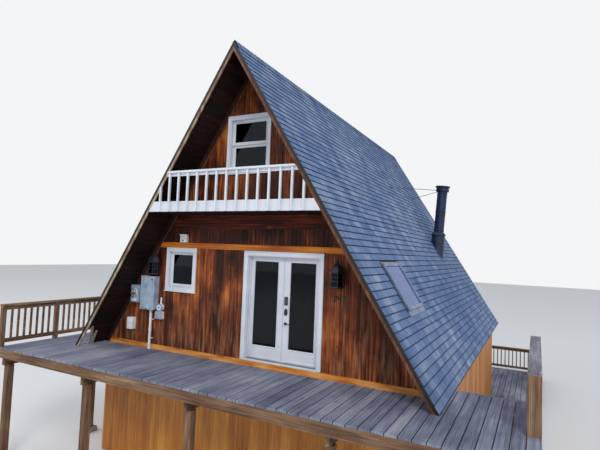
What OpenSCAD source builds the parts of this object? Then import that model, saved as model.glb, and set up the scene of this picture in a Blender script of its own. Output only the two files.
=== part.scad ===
// A-frame cabin on a sloping site: a steep prism of a roof over a main storey and a loft,
// a board-clad lower storey below it, a raised front deck and a low rear terrace.
// Millimetres. Origin: ground level, midway along the house, under the ridge. Front faces -Y.

/* [House] */
// Width from eave to eave, at deck level
house_w = 8100; // [7000:10:9500]
// Height of the ridge above the deck
rise = 6400; // [5600:10:7200]
// Length of the roof from front rake to rear rake
roof_len = 11400; // [10000:10:13000]
// How far the roof runs past the front and rear walls
overhang = 760; // [500:10:1000]
// Height of the front deck above the lowest ground
deck_h = 2550; // [2300:10:3200]
// Height of the indoor floor above the deck
floor_step = 110; // [60:5:160]
// Thickness of the main floor platform
floor_t = 290; // [200:5:340]
// Thickness of the loft floor
loft_t = 190; // [140:5:240]
// Height of the loft floor's underside above the deck
loft_z = 3050; // [2900:10:3200]

/* [Roof] */
// Thickness of the roof boarding with its shingles, all that the overhangs have
skin_t = 60; // [40:1:90]
// Thickness of the rafter layer inside, under the boarding
rafter_t = 180; // [120:5:240]
// Depth of the rake boards
rake_d = 66; // [60:1:120]
// Thickness of the rake boards
rake_t = 22; // [16:1:40]
// Depth of the dark metal edge over the rake boards
edge_d = 30; // [20:1:50]
// Thickness of the dark metal edge, in front of the rake boards
edge_t = 8; // [3:1:20]
// Width of each wing of the ridge cap
ridge_wing = 170; // [100:5:220]
// Thickness of the ridge cap
ridge_t = 22; // [4:1:40]

/* [Walls] */
// Thickness of the front and rear gable walls
wall_t = 130; // [110:5:200]
// Thickness of the lower storey's walls
lower_wall_t = 150; // [120:5:220]
// Distance of each lower side wall from its eave
lower_set_in = 150; // [120:5:300]
// Thickness of the concrete floor at the ground
slab_t = 150; // [100:5:250]
// Height of the board along the foot of the front wall
base_board_h = 108; // [60:1:140]
// Thickness of the boards fixed to the front wall
board_t = 22; // [15:1:30]
// Height of the orange trim band's underside above the deck
band_z = 2312; // [2310:1:2400]
// Height of the trim band
band_h = 118; // [80:1:140]

/* [French door] */
// Middle of the doorway, to the right of the ridge line
door_x = 865; // [700:5:1000]
// Width of the doorway cut in the wall
door_cut_w = 1650; // [1400:5:1800]
// Height of the doorway cut above the indoor floor
door_cut_h = 2120; // [2000:5:2140]
// Thickness of the door's jambs
jamb_t = 35; // [25:1:50]
// Height of the threshold
threshold_h = 40; // [25:1:60]
// Thickness of the door leaves
leaf_t = 45; // [35:1:55]
// Running gap round the door leaves
leaf_gap = 5; // [5:0.5:8]
// Width of the leaves' stiles on the hinge side
hinge_stile_w = 84; // [70:1:120]
// Width of the leaves' stiles where they meet
lock_stile_w = 130; // [90:1:150]
// Height of the leaves' bottom rail
bottom_rail_h = 250; // [200:5:330]
// Height of the leaves' top rail
top_rail_h = 78; // [60:1:130]
// Width of the white casing round the doorway
casing_w = 90; // [70:1:110]
// Thickness of white casings
casing_t = 24; // [16:1:35]
// Thickness of each sheet of glass
glass_t = 18; // [12:1:24]
// Diameter of the hinge pins
pin_d = 10; // [8:0.5:14]
// Height of each hinge
hinge_h = 100; // [80:1:140]

/* [Windows] */
// Width over the casing of the front loft window
loft_win_w = 1070; // [900:5:1200]
// Height over the casing of the front loft window
loft_win_h = 1228; // [1000:1:1260]
// Left edge of the loft window's casing, from the ridge line
loft_win_x = -600; // [-650:5:-500]
// Height of the loft window's lower edge above the deck
loft_win_z = 3930; // [3860:1:3980]
// Width over the casing of the small window beside the door
side_win_w = 845; // [700:5:900]
// Height over the casing of the small window
side_win_h = 950; // [800:5:960]
// Distance of the small window's top corner from the sloping roof beside it
side_win_in = 373; // [330:1:450]
// Height of the small window's lower edge above the deck
side_win_z = 1358; // [1250:1:1365]
// Distance of the rear windows' outer edges from the ridge line, on the main storey
rear_win_out = 2000; // [1700:10:2050]
// Distance of the lower storey's rear windows' outer edges from the ridge line
low_win_out = 2400; // [2000:10:3000]
// Depth of the lower storey's window edges below the deck's level
low_win_drop = 1450; // [1300:10:1600]
// How far the outer sash lies behind the wall's face
sash_in = 40; // [20:1:45]
// Thickness of each sash
sash_t = 35; // [30:1:38]
// Width of the sashes' stiles and rails
sash_w = 50; // [40:1:60]

/* [Skylight and stove pipe] */
// Distance of the skylight's lower edge from the eave, up the slope
sky_up = 1550; // [1300:10:1900]
// Distance of the skylight from the front rake
sky_back = 1320; // [1200:10:2500]
// Length of the skylight up the slope
sky_l = 1000; // [700:10:1300]
// Width of the skylight
sky_w = 1130; // [600:10:1200]
// How far the skylight's frame stands out of the roof
sky_proud = 45; // [30:1:90]
// Width of the skylight's frame
sky_frame_w = 55; // [40:1:80]
// Diameter of the stove pipe
pipe_d = 310; // [200:5:340]
// Distance of the stove pipe from the ridge line, where it leaves the roof
pipe_x = 2430; // [2200:5:2600]
// Distance of the stove pipe from the front rake
pipe_back = 8060; // [7500:10:9000]
// Height of the pipe above the roof
pipe_h = 1985; // [1500:5:2200]
// Lean of the pipe from the vertical, in degrees
pipe_lean = 4; // [0:0.5:5]
// Height of the storm collar above the roof
collar_up = 520; // [460:5:600]

/* [Balcony] */
// Height of the white board along the balcony's edge
rim_h = 212; // [190:1:260]
// Height of the handrail's top above the deck
handrail_z = 3881; // [3800:1:3960]
// Number of balusters, the two short end ones included
baluster_n = 15; // [11:2:17]
// Spacing of the balusters
baluster_step = 240; // [200:1:260]
// Width of each square baluster
baluster_w = 38; // [30:1:50]

/* [Fixtures] */
// Height of the wall lanterns' undersides above the deck
lantern_up = 1690; // [1660:1:1800]
// How far the lanterns' middles stand out of the wall
lantern_out = 150; // [140:1:180]
// Width of the lanterns
lantern_w = 265; // [200:1:275]
// Width of the electrical panel
panel_w = 415; // [360:1:440]
// Height of the electrical panel
panel_h = 742; // [600:1:760]
// Depth of the electrical panel
panel_d = 160; // [120:1:200]
// Height of the electrical panel's underside above the deck
panel_up = 890; // [860:1:900]

/* [Decks and railings] */
// How far the front deck runs in front of the roof
deck_front = 1110; // [800:10:1600]
// How far the front deck runs past the right eave
deck_right = 1330; // [900:10:1600]
// How far the front deck runs past the left eave
deck_left = 1100; // [900:10:1600]
// How far the deck's returns run behind the front rake
deck_return = 1500; // [1300:10:2200]
// Thickness of the deck boards
deck_t = 38; // [25:1:45]
// Height of the joists and beams
joist_h = 184; // [140:1:235]
// Thickness of joists and rails
timber_t = 38; // [35:1:50]
// Width of the square deck posts
post_w = 140; // [89:1:150]
// Depth of the rear terrace behind the house
terrace_l = 4000; // [3000:50:6000]
// Height of the terrace above the ground
terrace_h = 250; // [230:5:320]
// Height of the deck railings above the boards
rail_h = 838; // [800:1:1000]
// Height of the left railing and the terrace railing
guard_h = 920; // [850:1:1000]
// Width of the square rail posts
rail_post_w = 89; // [75:1:120]
// Spacing of the railing balusters
rail_step = 140; // [120:1:160]
// How far the right railing runs back from the front rake
rail_right_l = 3200; // [2800:10:3600]

/* [Hidden] */
$fn = 48;

half_w = house_w / 2;
pitch = atan(rise / half_w);
slope_len = sqrt(half_w * half_w + rise * rise);
ridge_z = deck_h + rise;
front_y = -roof_len / 2;
rear_y = roof_len / 2;
wall_front_y = front_y + overhang;
wall_rear_y = rear_y - overhang;
floor_z = deck_h + floor_step;
platform_z = floor_z - floor_t;
lower_half_w = half_w - lower_set_in;
head_z = floor_z + door_cut_h;
gable_z = deck_h + loft_z;
full_t = skin_t + rafter_t;
seat_fit = 0.2;
house_col = "saddlebrown";
honey_col = "peru";
white_col = "whitesmoke";
deck_col = "darkgray";
shingle_col = "slategray";
black_col = "dimgray";

// Half the width inside the roof at height z, the roof being t thick square to its slope
function half_at(z, t) = half_w * (1 - (z - deck_h) / rise) - t / sin(pitch);

// Front outline of what fills the roof between two heights, under a roof t thick
function fill_pts(z0, z1, t) = [
    [-half_at(z0, t), z0], [half_at(z0, t), z0], [half_at(z1, t), z1], [-half_at(z1, t), z1]
];

// A place on the front wall, inset from the left slope's inside at height z
function left_x(z, inset) = inset - half_at(z, skin_t);

// An outline drawn in X and Z, carried along Y from y0 to y1
module along_y(y0, y1) {
    translate([0, y1, 0])
        rotate([90, 0, 0])
            linear_extrude(height = y1 - y0)
                children();
}

// A rectangular ring of width w round corners a and b in X and Z, from y0 to y1
module ring(a, b, w, y0, y1) {
    difference() {
        block([a[0], y0, a[1]], [b[0], y1, b[1]]);
        block([a[0] + w, y0 - 1, a[1] + w], [b[0] - w, y1 + 1, b[1] - w]);
    }
}

// A box from its lowest to its highest corner
module block(a, b) {
    translate(a)
        cube([b[0] - a[0], b[1] - a[1], b[2] - a[2]]);
}

// The frame of the right slope: X down the slope from the ridge, Y back, Z out of the roof
module right_slope() {
    translate([0, 0, ridge_z])
        rotate([0, pitch, 0])
            children();
}

// Lower storey

module ground_slab() {
    color("silver")
        block([-lower_half_w, wall_front_y, 0], [lower_half_w, wall_rear_y, slab_t]);
}

module lower_side_wall() {
    block([lower_half_w - lower_wall_t, wall_front_y, slab_t],
          [lower_half_w, wall_rear_y, platform_z]);
}

module lower_wall_right() {
    color(honey_col)
        lower_side_wall();
}

module lower_wall_left() {
    color(honey_col)
        mirror([1, 0, 0])
            lower_side_wall();
}

module lower_wall_front() {
    inner = lower_half_w - lower_wall_t;
    color(honey_col)
        block([-inner, wall_front_y, slab_t], [inner, wall_front_y + lower_wall_t, platform_z]);
}

// Places of the windows in the rear wall, as casing corner [x, z], repeated from the front
low_win_z = deck_h - low_win_drop;
main_win_z = deck_h + side_win_z;
rear_low_wins = [[-low_win_out, low_win_z], [low_win_out - side_win_w, low_win_z]];
rear_main_wins = [[-rear_win_out, main_win_z], [rear_win_out - side_win_w, main_win_z]];
rear_loft_wins = [[-loft_win_w / 2, deck_h + loft_win_z]];

module lower_wall_rear() {
    inner = lower_half_w - lower_wall_t;
    color(honey_col)
        difference() {
            block([-inner, wall_rear_y - lower_wall_t, slab_t], [inner, wall_rear_y, platform_z]);
            for (p = rear_low_wins)
                window_cut(p, side_win_w, side_win_h, wall_rear_y);
        }
}

module main_floor() {
    color("burlywood")
        block([-lower_half_w, wall_front_y, platform_z], [lower_half_w, wall_rear_y, floor_z]);
}

module loft_floor() {
    color("burlywood")
        along_y(wall_front_y + wall_t, wall_rear_y - wall_t)
            polygon(fill_pts(gable_z, gable_z + loft_t, full_t + seat_fit));
}

// Gable walls

win_reveal = 12;
cut_reach = 400;

// The opening of a window whose casing has its lower left corner at p
module window_cut(p, w, h, y) {
    c = casing_w - win_reveal;
    block([p[0] + c, y - cut_reach, p[1] + c], [p[0] + w - c, y + cut_reach, p[1] + h - c]);
}

module front_wall(z0, z1) {
    along_y(wall_front_y, wall_front_y + wall_t)
        polygon(fill_pts(z0, z1, skin_t));
}

door_cut_x0 = door_x - door_cut_w / 2;
door_cut_x1 = door_x + door_cut_w / 2;
side_win_x = left_x(main_win_z + side_win_h, side_win_in);
side_win_at = [side_win_x, main_win_z];
loft_win_at = [loft_win_x, deck_h + loft_win_z];

module front_wall_left() {
    color(house_col)
        difference() {
            front_wall(floor_z, gable_z);
            block([door_cut_x0, front_y, 0], [half_w, 0, ridge_z]);
            window_cut(side_win_at, side_win_w, side_win_h, wall_front_y);
        }
}

module front_wall_right() {
    color(house_col)
        difference() {
            front_wall(floor_z, gable_z);
            block([-half_w, front_y, 0], [door_cut_x1, 0, ridge_z]);
        }
}

module front_wall_head() {
    color(house_col)
        block([door_cut_x0, wall_front_y, head_z],
              [door_cut_x1, wall_front_y + wall_t, gable_z]);
}

module front_gable_wall() {
    apex_z = ridge_z - skin_t / cos(pitch);
    color(house_col)
        difference() {
            along_y(wall_front_y, wall_front_y + wall_t)
                polygon([[-half_at(gable_z, skin_t), gable_z], [half_at(gable_z, skin_t), gable_z],
                         [0, apex_z]]);
            window_cut(loft_win_at, loft_win_w, loft_win_h, wall_front_y);
        }
}

module rear_wall() {
    apex_z = ridge_z - skin_t / cos(pitch);
    color(house_col)
        difference() {
            along_y(wall_rear_y - wall_t, wall_rear_y)
                polygon([[-half_at(floor_z, skin_t), floor_z], [half_at(floor_z, skin_t), floor_z],
                         [0, apex_z]]);
            for (p = rear_main_wins)
                window_cut(p, side_win_w, side_win_h, wall_rear_y);
            for (p = rear_loft_wins)
                window_cut(p, loft_win_w, loft_win_h, wall_rear_y);
        }
}

// Roof

// One slope: the boarding over its whole length, and the rafter layer between the gable walls
module roof_slope() {
    mid_t = skin_t / 2;
    along_y(front_y, rear_y)
        polygon([[half_at(deck_h, skin_t), deck_h], [half_w, deck_h], [0, ridge_z],
                 [0, ridge_z - skin_t / cos(pitch)]]);
    along_y(wall_front_y + wall_t, wall_rear_y - wall_t)
        polygon([[half_at(floor_z, full_t), floor_z], [half_at(floor_z, mid_t), floor_z],
                 [0, ridge_z - mid_t / cos(pitch)], [0, ridge_z - full_t / cos(pitch)]]);
}

// The left slope from below: X up the slope from the eave, Y back from the front rake
module left_slope() {
    translate([-half_w, front_y, deck_h])
        rotate([0, -pitch, 0])
            children();
}

// The corner that has rotted away at the foot of the left slope, behind the rake board
gap_up = 600;
gap_back = 330;
gap_pts = [[-gap_up, -1], [gap_up, -1], [gap_up * 0.93, gap_back * 0.3],
           [gap_up * 0.5, gap_back * 0.72], [gap_up * 0.3, gap_back], [-gap_up, gap_back]];

module roof_left() {
    color(shingle_col)
        difference() {
            mirror([1, 0, 0])
                roof_slope();
            left_slope()
                translate([0, 0, -skin_t * 3])
                    linear_extrude(height = skin_t * 6)
                        polygon(gap_pts);
        }
}

stub_t = 30;
stub_foot = [240, 400];
stub_pts = [[-stub_t * 4, stub_foot[0]], [140, 210], [560, 90], [575, 135], [300, 235], [265, 270],
            [440, 268], [425, 310], [150, 345], [-stub_t * 4, stub_foot[1]]];

// The forked end of a board left standing under the slope beside that corner
module eave_stub() {
    color(deck_col)
        difference() {
            left_slope()
                translate([0, 0, -skin_t - stub_t])
                    linear_extrude(height = stub_t)
                        polygon(stub_pts);
            block([-house_w, front_y, deck_h - house_w], [0, rear_y, deck_h]);
        }
}

sky_x0 = slope_len - sky_up - sky_l;
sky_x1 = slope_len - sky_up;
sky_y0 = front_y + sky_back;
sky_y1 = sky_y0 + sky_w;
pipe_y = front_y + pipe_back;
pipe_z = ridge_z - rise * pipe_x / half_w;
pipe_fit = 0.3;
flue_clear = 25;
flue_in = 420;

module roof_right() {
    color(shingle_col)
        difference() {
            roof_slope();
            right_slope()
                block([sky_x0 + sky_frame_w, sky_y0 + sky_frame_w, -full_t * 2],
                      [sky_x1 - sky_frame_w, sky_y1 - sky_frame_w, full_t]);
            pipe_axis()
                cylinder(h = flue_in * 4, d = pipe_d + flue_clear * 2, center = true);
        }
}

module ridge_cap() {
    wing = ridge_wing;
    drop = wing * sin(pitch);
    out = wing * cos(pitch);
    up = ridge_t / cos(pitch);
    color(shingle_col)
        along_y(front_y, rear_y)
            polygon([[-out, ridge_z - drop], [0, ridge_z], [out, ridge_z - drop],
                     [out + ridge_t * sin(pitch), ridge_z - drop + ridge_t * cos(pitch)],
                     [0, ridge_z + up],
                     [-out - ridge_t * sin(pitch), ridge_z - drop + ridge_t * cos(pitch)]]);
}

// A strip along one rake, from inset t0 to inset t1 below the roof's surface
module rake_strip(t0, t1, y0, y1) {
    along_y(y0, y1)
        polygon([[half_at(deck_h, t1), deck_h], [half_at(deck_h, t0), deck_h],
                 [0, ridge_z - t0 / cos(pitch)], [0, ridge_z - t1 / cos(pitch)]]);
}

module both_sides() {
    children();
    mirror([1, 0, 0])
        children();
}

module rake_boards() {
    color(house_col)
        both_sides() {
            rake_strip(edge_d, edge_d + rake_d, front_y - rake_t, front_y);
            rake_strip(edge_d, edge_d + rake_d, rear_y, rear_y + rake_t);
        }
}

module roof_edge_metal() {
    color(black_col)
        both_sides() {
            rake_strip(0, edge_d, front_y - rake_t - edge_t, front_y);
            rake_strip(0, edge_d, rear_y, rear_y + rake_t + edge_t);
        }
}

eave_board_h = 140;
eave_gap = 2;

// Boards that close the eaves between the roof's foot and the lower wall
module eave_boards() {
    color(house_col)
        both_sides()
            block([lower_half_w, front_y + deck_return, deck_h - eave_board_h],
                  [lower_half_w + board_t, rear_y - overhang, deck_h - eave_gap]);
}

// The band over the door and the board along the wall's foot
module wall_trim() {
    color("chocolate")
        along_y(wall_front_y - board_t, wall_front_y) {
            polygon(fill_pts(deck_h + band_z, deck_h + band_z + band_h, skin_t));
            polygon(fill_pts(deck_h, deck_h + base_board_h, skin_t));
        }
}

// French door

clear_x0 = door_cut_x0 + jamb_t;
clear_x1 = door_cut_x1 - jamb_t;
clear_z0 = floor_z + threshold_h;
clear_z1 = head_z - jamb_t;
wall_in_y = wall_front_y + wall_t;
leaf_w = (clear_x1 - clear_x0 - 3 * leaf_gap) / 2;
leaf_z0 = clear_z0 + leaf_gap;
leaf_z1 = clear_z1 - leaf_gap;
leaf_y0 = wall_in_y - leaf_t;
glass_d0 = leaf_gap + hinge_stile_w;
glass_d1 = leaf_gap + leaf_w - lock_stile_w;
glass_z0 = leaf_z0 + bottom_rail_h;
glass_z1 = leaf_z1 - top_rail_h;
pin_y = wall_in_y + pin_d;
knuckle_d = pin_d + 8;
knuckle_clear = 1;
hinge_fit = 0.3;
hinge_end = 180;
hinge_zs = [leaf_z0 + hinge_end, (leaf_z0 + leaf_z1) / 2, leaf_z1 - hinge_end - hinge_h];
stop_t = 14;
stop_d = 20;
casing_reveal = 15;
plate_t = 3;
plate_w = 34;

module door_frame() {
    cx0 = clear_x0 - casing_reveal;
    cx1 = clear_x1 + casing_reveal;
    cz1 = clear_z1 + casing_reveal;
    color(white_col) {
        difference() {
            block([door_cut_x0, wall_front_y, floor_z], [door_cut_x1, wall_in_y, head_z]);
            block([clear_x0, wall_front_y - 1, clear_z0], [clear_x1, wall_in_y + 1, clear_z1]);
        }
        // stops that the leaves close against
        difference() {
            block([clear_x0, leaf_y0 - leaf_gap - stop_d, clear_z0],
                  [clear_x1, leaf_y0 - leaf_gap, clear_z1]);
            block([clear_x0 + stop_t, wall_front_y, 0],
                  [clear_x1 - stop_t, wall_in_y, clear_z1 - stop_t]);
        }
        // casing on the wall's face
        difference() {
            block([cx0 - casing_w, wall_front_y - casing_t, floor_z],
                  [cx1 + casing_w, wall_front_y, cz1 + casing_w]);
            block([cx0, wall_front_y - casing_t - 1, 0], [cx1, wall_front_y + 1, cz1]);
        }
        // nosing of the threshold
        block([cx0, wall_front_y - casing_t, floor_z],
              [cx1, wall_front_y, clear_z0 - threshold_h / 2]);
        for (z = hinge_zs) {
            hinge_fixed(clear_x0, 1, z);
            hinge_fixed(clear_x1, -1, z);
        }
    }
}

// Fixed half of a hinge: a plate on the jamb's edge, two knuckles and the pin
module hinge_fixed(x, side, z) {
    third = hinge_h / 3;
    near = x - side * (knuckle_d / 2 + knuckle_clear);
    far = x - side * plate_w;
    block([min(near, far), wall_in_y, z], [max(near, far), wall_in_y + plate_t, z + hinge_h]);
    translate([x, pin_y, z])
        cylinder(h = hinge_h, d = pin_d);
    for (k = [0, 2]) {
        translate([x, pin_y, z + k * third])
            cylinder(h = third, d = knuckle_d);
        block([min(x, near), wall_in_y, z + k * third],
              [max(x, near), wall_in_y + plate_t, z + (k + 1) * third]);
        block([min(x, x - side * knuckle_d / 2), wall_in_y, z + k * third],
              [max(x, x - side * knuckle_d / 2), pin_y, z + (k + 1) * third]);
    }
}

// Moving half: one knuckle round the pin and a plate on the leaf's face
module hinge_moving(x, side, z) {
    h = hinge_h / 3 - 2 * hinge_fit;
    near = x + side * leaf_gap;
    far = x + side * plate_w;
    translate([0, 0, z + hinge_h / 3 + hinge_fit])
        difference() {
            union() {
                translate([x, pin_y, 0])
                    cylinder(h = h, d = knuckle_d);
                block([min(near, far), wall_in_y, 0], [max(near, far), wall_in_y + plate_t, h]);
                block([min(near, x + side * knuckle_d / 2), wall_in_y, 0],
                      [max(near, x + side * knuckle_d / 2), pin_y, h]);
            }
            translate([x, pin_y, -1])
                cylinder(h = hinge_h, d = pin_d + 2 * hinge_fit);
        }
}

// A box between two upright edges of a leaf, given as distances from its hinge edge at x
module leaf_block(x, side, d0, d1, y0, z0, y1, z1) {
    a = x + side * d0;
    b = x + side * d1;
    block([min(a, b), y0, z0], [max(a, b), y1, z1]);
}

// A glazed leaf whose hinge edge is at x; side is 1 when it reaches to the right
module door_leaf(x, side) {
    color(white_col) {
        difference() {
            leaf_block(x, side, leaf_gap, leaf_gap + leaf_w, leaf_y0, leaf_z0, wall_in_y, leaf_z1);
            leaf_block(x, side, glass_d0, glass_d1, leaf_y0 - 1, glass_z0, wall_in_y + 1, glass_z1);
        }
        for (z = hinge_zs)
            hinge_moving(x, side, z);
    }
}

module door_leaf_left() {
    door_leaf(clear_x0, 1);
}

module door_leaf_right() {
    door_leaf(clear_x1, -1);
}

module leaf_glass(x, side) {
    mid_y = leaf_y0 + leaf_t / 2;
    color("lightblue", 0.5)
        leaf_block(x, side, glass_d0, glass_d1, mid_y - glass_t / 2, glass_z0,
                   mid_y + glass_t / 2, glass_z1);
}

module door_glass_left() {
    leaf_glass(clear_x0, 1);
}

module door_glass_right() {
    leaf_glass(clear_x1, -1);
}

handle_x = clear_x1 - leaf_gap - leaf_w + lock_stile_w / 2;
lever_up = 906;
lever_z = deck_h + lever_up;
rose_d = 60;
rose_t = 10;
neck_d = 20;
lever_out = 58;
lever_l = 115;
lever_w = 20;
lever_t = 12;
lock_up = 1130;
lock_z = deck_h + lock_up;
lock_w = 66;
lock_h = 131;
lock_t = 16;
barrel_d = 40;
barrel_l = 30;
keypad_up = 1270;
keypad_z = deck_h + keypad_up;
keypad_w = 68;
keypad_h = 160;
keypad_t = 24;

// Round rose, neck and lever, standing up from the face they are fixed to
module lever_handle() {
    cylinder(h = rose_t, d = rose_d);
    cylinder(h = lever_out - lever_t, d = neck_d);
    translate([0, 0, lever_out - lever_t])
        linear_extrude(height = lever_t) {
            circle(d = lever_w * 1.3);
            translate([0, -lever_w / 2])
                square([lever_l - lever_w, lever_w]);
            translate([lever_l - lever_w, 0])
                circle(d = lever_w);
        }
}

// A plate with rounded ends, w wide and h high, standing t out of the face
module lock_plate(w, h, t) {
    linear_extrude(height = t) {
        for (s = [-1, 1])
            translate([0, s * (h - w) / 2])
                circle(d = w);
        square([w, h - w], center = true);
    }
}

module door_handle_set() {
    color(black_col) {
        translate([handle_x, leaf_y0, lever_z])
            rotate([90, 0, 0])
                lever_handle();
        translate([handle_x, wall_in_y, lever_z])
            rotate([-90, 0, 0])
                lever_handle();
        translate([handle_x, leaf_y0, lock_z])
            rotate([90, 0, 0]) {
                lock_plate(lock_w, lock_h, lock_t);
                cylinder(h = barrel_l, d = barrel_d);
            }
        // keypad over the lock, and the lock's housing inside
        for (y = [leaf_y0 - keypad_t, wall_in_y])
            translate([handle_x - keypad_w / 2, y, keypad_z])
                cube([keypad_w, keypad_t, keypad_h]);
    }
}

// Windows

sill_over = 20;
sill_out = 16;
sill_h = 26;
sash_lap = 8;

// Lower and upper edge of sash i of a window whose casing is h high, over the height z
function sash_z(i, n, z, h) = let (low = z + casing_w, high = z + h - casing_w, mid = z + h / 2)
    n == 1 ? [low, high] : (i == 0 ? [low, mid + sash_lap / 2] : [mid - sash_lap / 2, high]);

// Casing, lining, sashes and sill of one window; p is the casing's lower left corner on the wall
module window_frame(p, w, h, sashes) {
    c = casing_w - win_reveal;
    // casing
    ring(p, [p[0] + w, p[1] + h], casing_w, -casing_t, 0);
    // lining
    ring([p[0] + c, p[1] + c], [p[0] + w - c, p[1] + h - c], win_reveal, 0,
         sash_in + sashes * sash_t);
    for (i = [0:sashes - 1]) {
        z = sash_z(i, sashes, p[1], h);
        y = sash_in + (sashes - 1 - i) * sash_t;
        ring([p[0] + casing_w, z[0]], [p[0] + w - casing_w, z[1]], sash_w, y, y + sash_t);
    }
    // sill
    block([p[0] - sill_over, -casing_t - sill_out, p[1] - sill_h], [p[0] + w + sill_over, 0, p[1]]);
}

module window_panes(p, w, h, sashes) {
    e = casing_w + sash_w;
    for (i = [0:sashes - 1]) {
        z = sash_z(i, sashes, p[1], h);
        y = sash_in + (sashes - 1 - i) * sash_t + (sash_t - glass_t) / 2;
        block([p[0] + e, y, z[0] + sash_w], [p[0] + w - e, y + glass_t, z[1] - sash_w]);
    }
}

// Turns a window made for the front so that it stands in the rear wall
module on_rear_wall() {
    translate([0, wall_rear_y, 0])
        mirror([0, 1, 0])
            children();
}

module window_frames() {
    color(white_col) {
        translate([0, wall_front_y, 0]) {
            window_frame(loft_win_at, loft_win_w, loft_win_h, 2);
            window_frame(side_win_at, side_win_w, side_win_h, 1);
        }
        on_rear_wall() {
            for (p = concat(rear_low_wins, rear_main_wins))
                window_frame(p, side_win_w, side_win_h, 1);
            for (p = rear_loft_wins)
                window_frame(p, loft_win_w, loft_win_h, 2);
        }
    }
}

module window_glass() {
    color("lightblue", 0.5) {
        translate([0, wall_front_y, 0]) {
            window_panes(loft_win_at, loft_win_w, loft_win_h, 2);
            window_panes(side_win_at, side_win_w, side_win_h, 1);
        }
        on_rear_wall() {
            for (p = concat(rear_low_wins, rear_main_wins))
                window_panes(p, side_win_w, side_win_h, 1);
            for (p = rear_loft_wins)
                window_panes(p, loft_win_w, loft_win_h, 2);
        }
    }
}

// Skylight

sky_lining = 12;
sky_glass_in = 20;

module skylight_frame() {
    color("lightsteelblue")
        right_slope()
            difference() {
                union() {
                    block([sky_x0, sky_y0, 0], [sky_x1, sky_y1, sky_proud]);
                    block([sky_x0 + sky_frame_w, sky_y0 + sky_frame_w, -full_t],
                          [sky_x1 - sky_frame_w, sky_y1 - sky_frame_w, 0]);
                }
                block([sky_x0 + sky_frame_w + sky_lining, sky_y0 + sky_frame_w + sky_lining,
                       -full_t - 1],
                      [sky_x1 - sky_frame_w - sky_lining, sky_y1 - sky_frame_w - sky_lining,
                       sky_proud + 1]);
            }
}
module skylight_glass() {
    e = sky_frame_w + sky_lining;
    color("lightblue", 0.5)
        right_slope()
            block([sky_x0 + e, sky_y0 + e, sky_proud - sky_glass_in - glass_t],
                  [sky_x1 - e, sky_y1 - e, sky_proud - sky_glass_in]);
}

// Stove pipe

// The pipe's own frame: its axis along Z, starting where it crosses the roof's surface
module pipe_axis() {
    translate([pipe_x, pipe_y, pipe_z])
        rotate([0, pipe_lean, 0])
            children();
}

pipe_wall = 20;

module stove_pipe() {
    color(black_col)
        pipe_axis()
            translate([0, 0, -flue_in])
                difference() {
                    cylinder(h = flue_in + pipe_h, d = pipe_d);
                    translate([0, 0, -1])
                        cylinder(h = flue_in + pipe_h + 2, d = pipe_d - 2 * pipe_wall);
                }
}

cap_d = 450;
cap_top_d = 60;
cap_ring_h = 85;
cap_ring_d = 398;
cap_ring_t = 12;
cap_gap = 35;
cap_t = 45;
cap_rise = 26;
strap_in = 8;
strap_w = 20;
strap_t = 12;

// Collar round the pipe's mouth, and a shallow cone held over it by four straps
module pipe_cap() {
    bore = pipe_d - 2 * pipe_wall;
    under = cap_ring_t / 2 + cap_gap;
    color(black_col)
        pipe_axis()
            translate([0, 0, pipe_h]) {
                difference() {
                    translate([0, 0, -cap_ring_h])
                        cylinder(h = cap_ring_h + cap_ring_t, d = cap_ring_d);
                    translate([0, 0, -cap_ring_h - 1])
                        cylinder(h = cap_ring_h + 1, d = pipe_d + 2 * pipe_fit);
                    cylinder(h = cap_ring_h, d = bore, center = true);
                }
                for (a = [45:90:315])
                    rotate([0, 0, a])
                        translate([pipe_d / 2 + strap_in, -strap_w / 2, cap_ring_t / 2])
                            cube([strap_t, strap_w, cap_gap]);
                translate([0, 0, under])
                    cylinder(h = cap_t, d = cap_d);
                translate([0, 0, under + cap_t])
                    cylinder(h = cap_rise, d1 = cap_d, d2 = cap_top_d);
            }
}

boot_d = 388;
boot_flare = 60;
collar_d = 454;
collar_h = 40;
flash_t = 4;
flash_w = 640;
flash_l = 900;

// Base plate on the shingles, the tapered boot cut to the slope, and the storm collar
module pipe_flashing() {
    low = boot_d * tan(pitch);
    s = pipe_x / cos(pitch);
    color(black_col) {
        difference() {
            right_slope()
                block([s - flash_l / 2, pipe_y - flash_w / 2, 0],
                      [s + flash_l / 2, pipe_y + flash_w / 2, flash_t]);
            pipe_axis()
                cylinder(h = 4 * low, d = pipe_d + 2 * pipe_fit, center = true);
        }
        difference() {
            pipe_axis()
                difference() {
                    union() {
                        translate([0, 0, -low])
                            cylinder(h = low + collar_up, d1 = boot_d + boot_flare, d2 = boot_d);
                        translate([0, 0, collar_up - collar_h])
                            cylinder(h = collar_h / 2, d = collar_d);
                        translate([0, 0, collar_up - collar_h / 2])
                            cylinder(h = collar_h, d1 = collar_d, d2 = boot_d);
                        translate([0, 0, collar_up + collar_h / 2])
                            cylinder(h = collar_h, d1 = boot_d, d2 = pipe_d + 10);
                    }
                    cylinder(h = 4 * low, d = pipe_d + 2 * pipe_fit, center = true);
                }
            right_slope()
                block([0, pipe_y - flash_l, -slope_len], [slope_len * 2, pipe_y + flash_l, 0]);
        }
    }
}

stay_d = 16;
stay_drop = 55;
stay_foot_x = 1250;
stay_spread = 1420;
stay_band_h = 40;
stay_band_t = 8;
foot_pad_d = 90;
foot_pad_t = 20;

// A rod between two points
module rod(a, b, d) {
    v = b - a;
    l = norm(v);
    translate(a)
        rotate([0, acos(v[2] / l), atan2(v[1], v[0])])
            cylinder(h = l, d = d);
}

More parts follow.
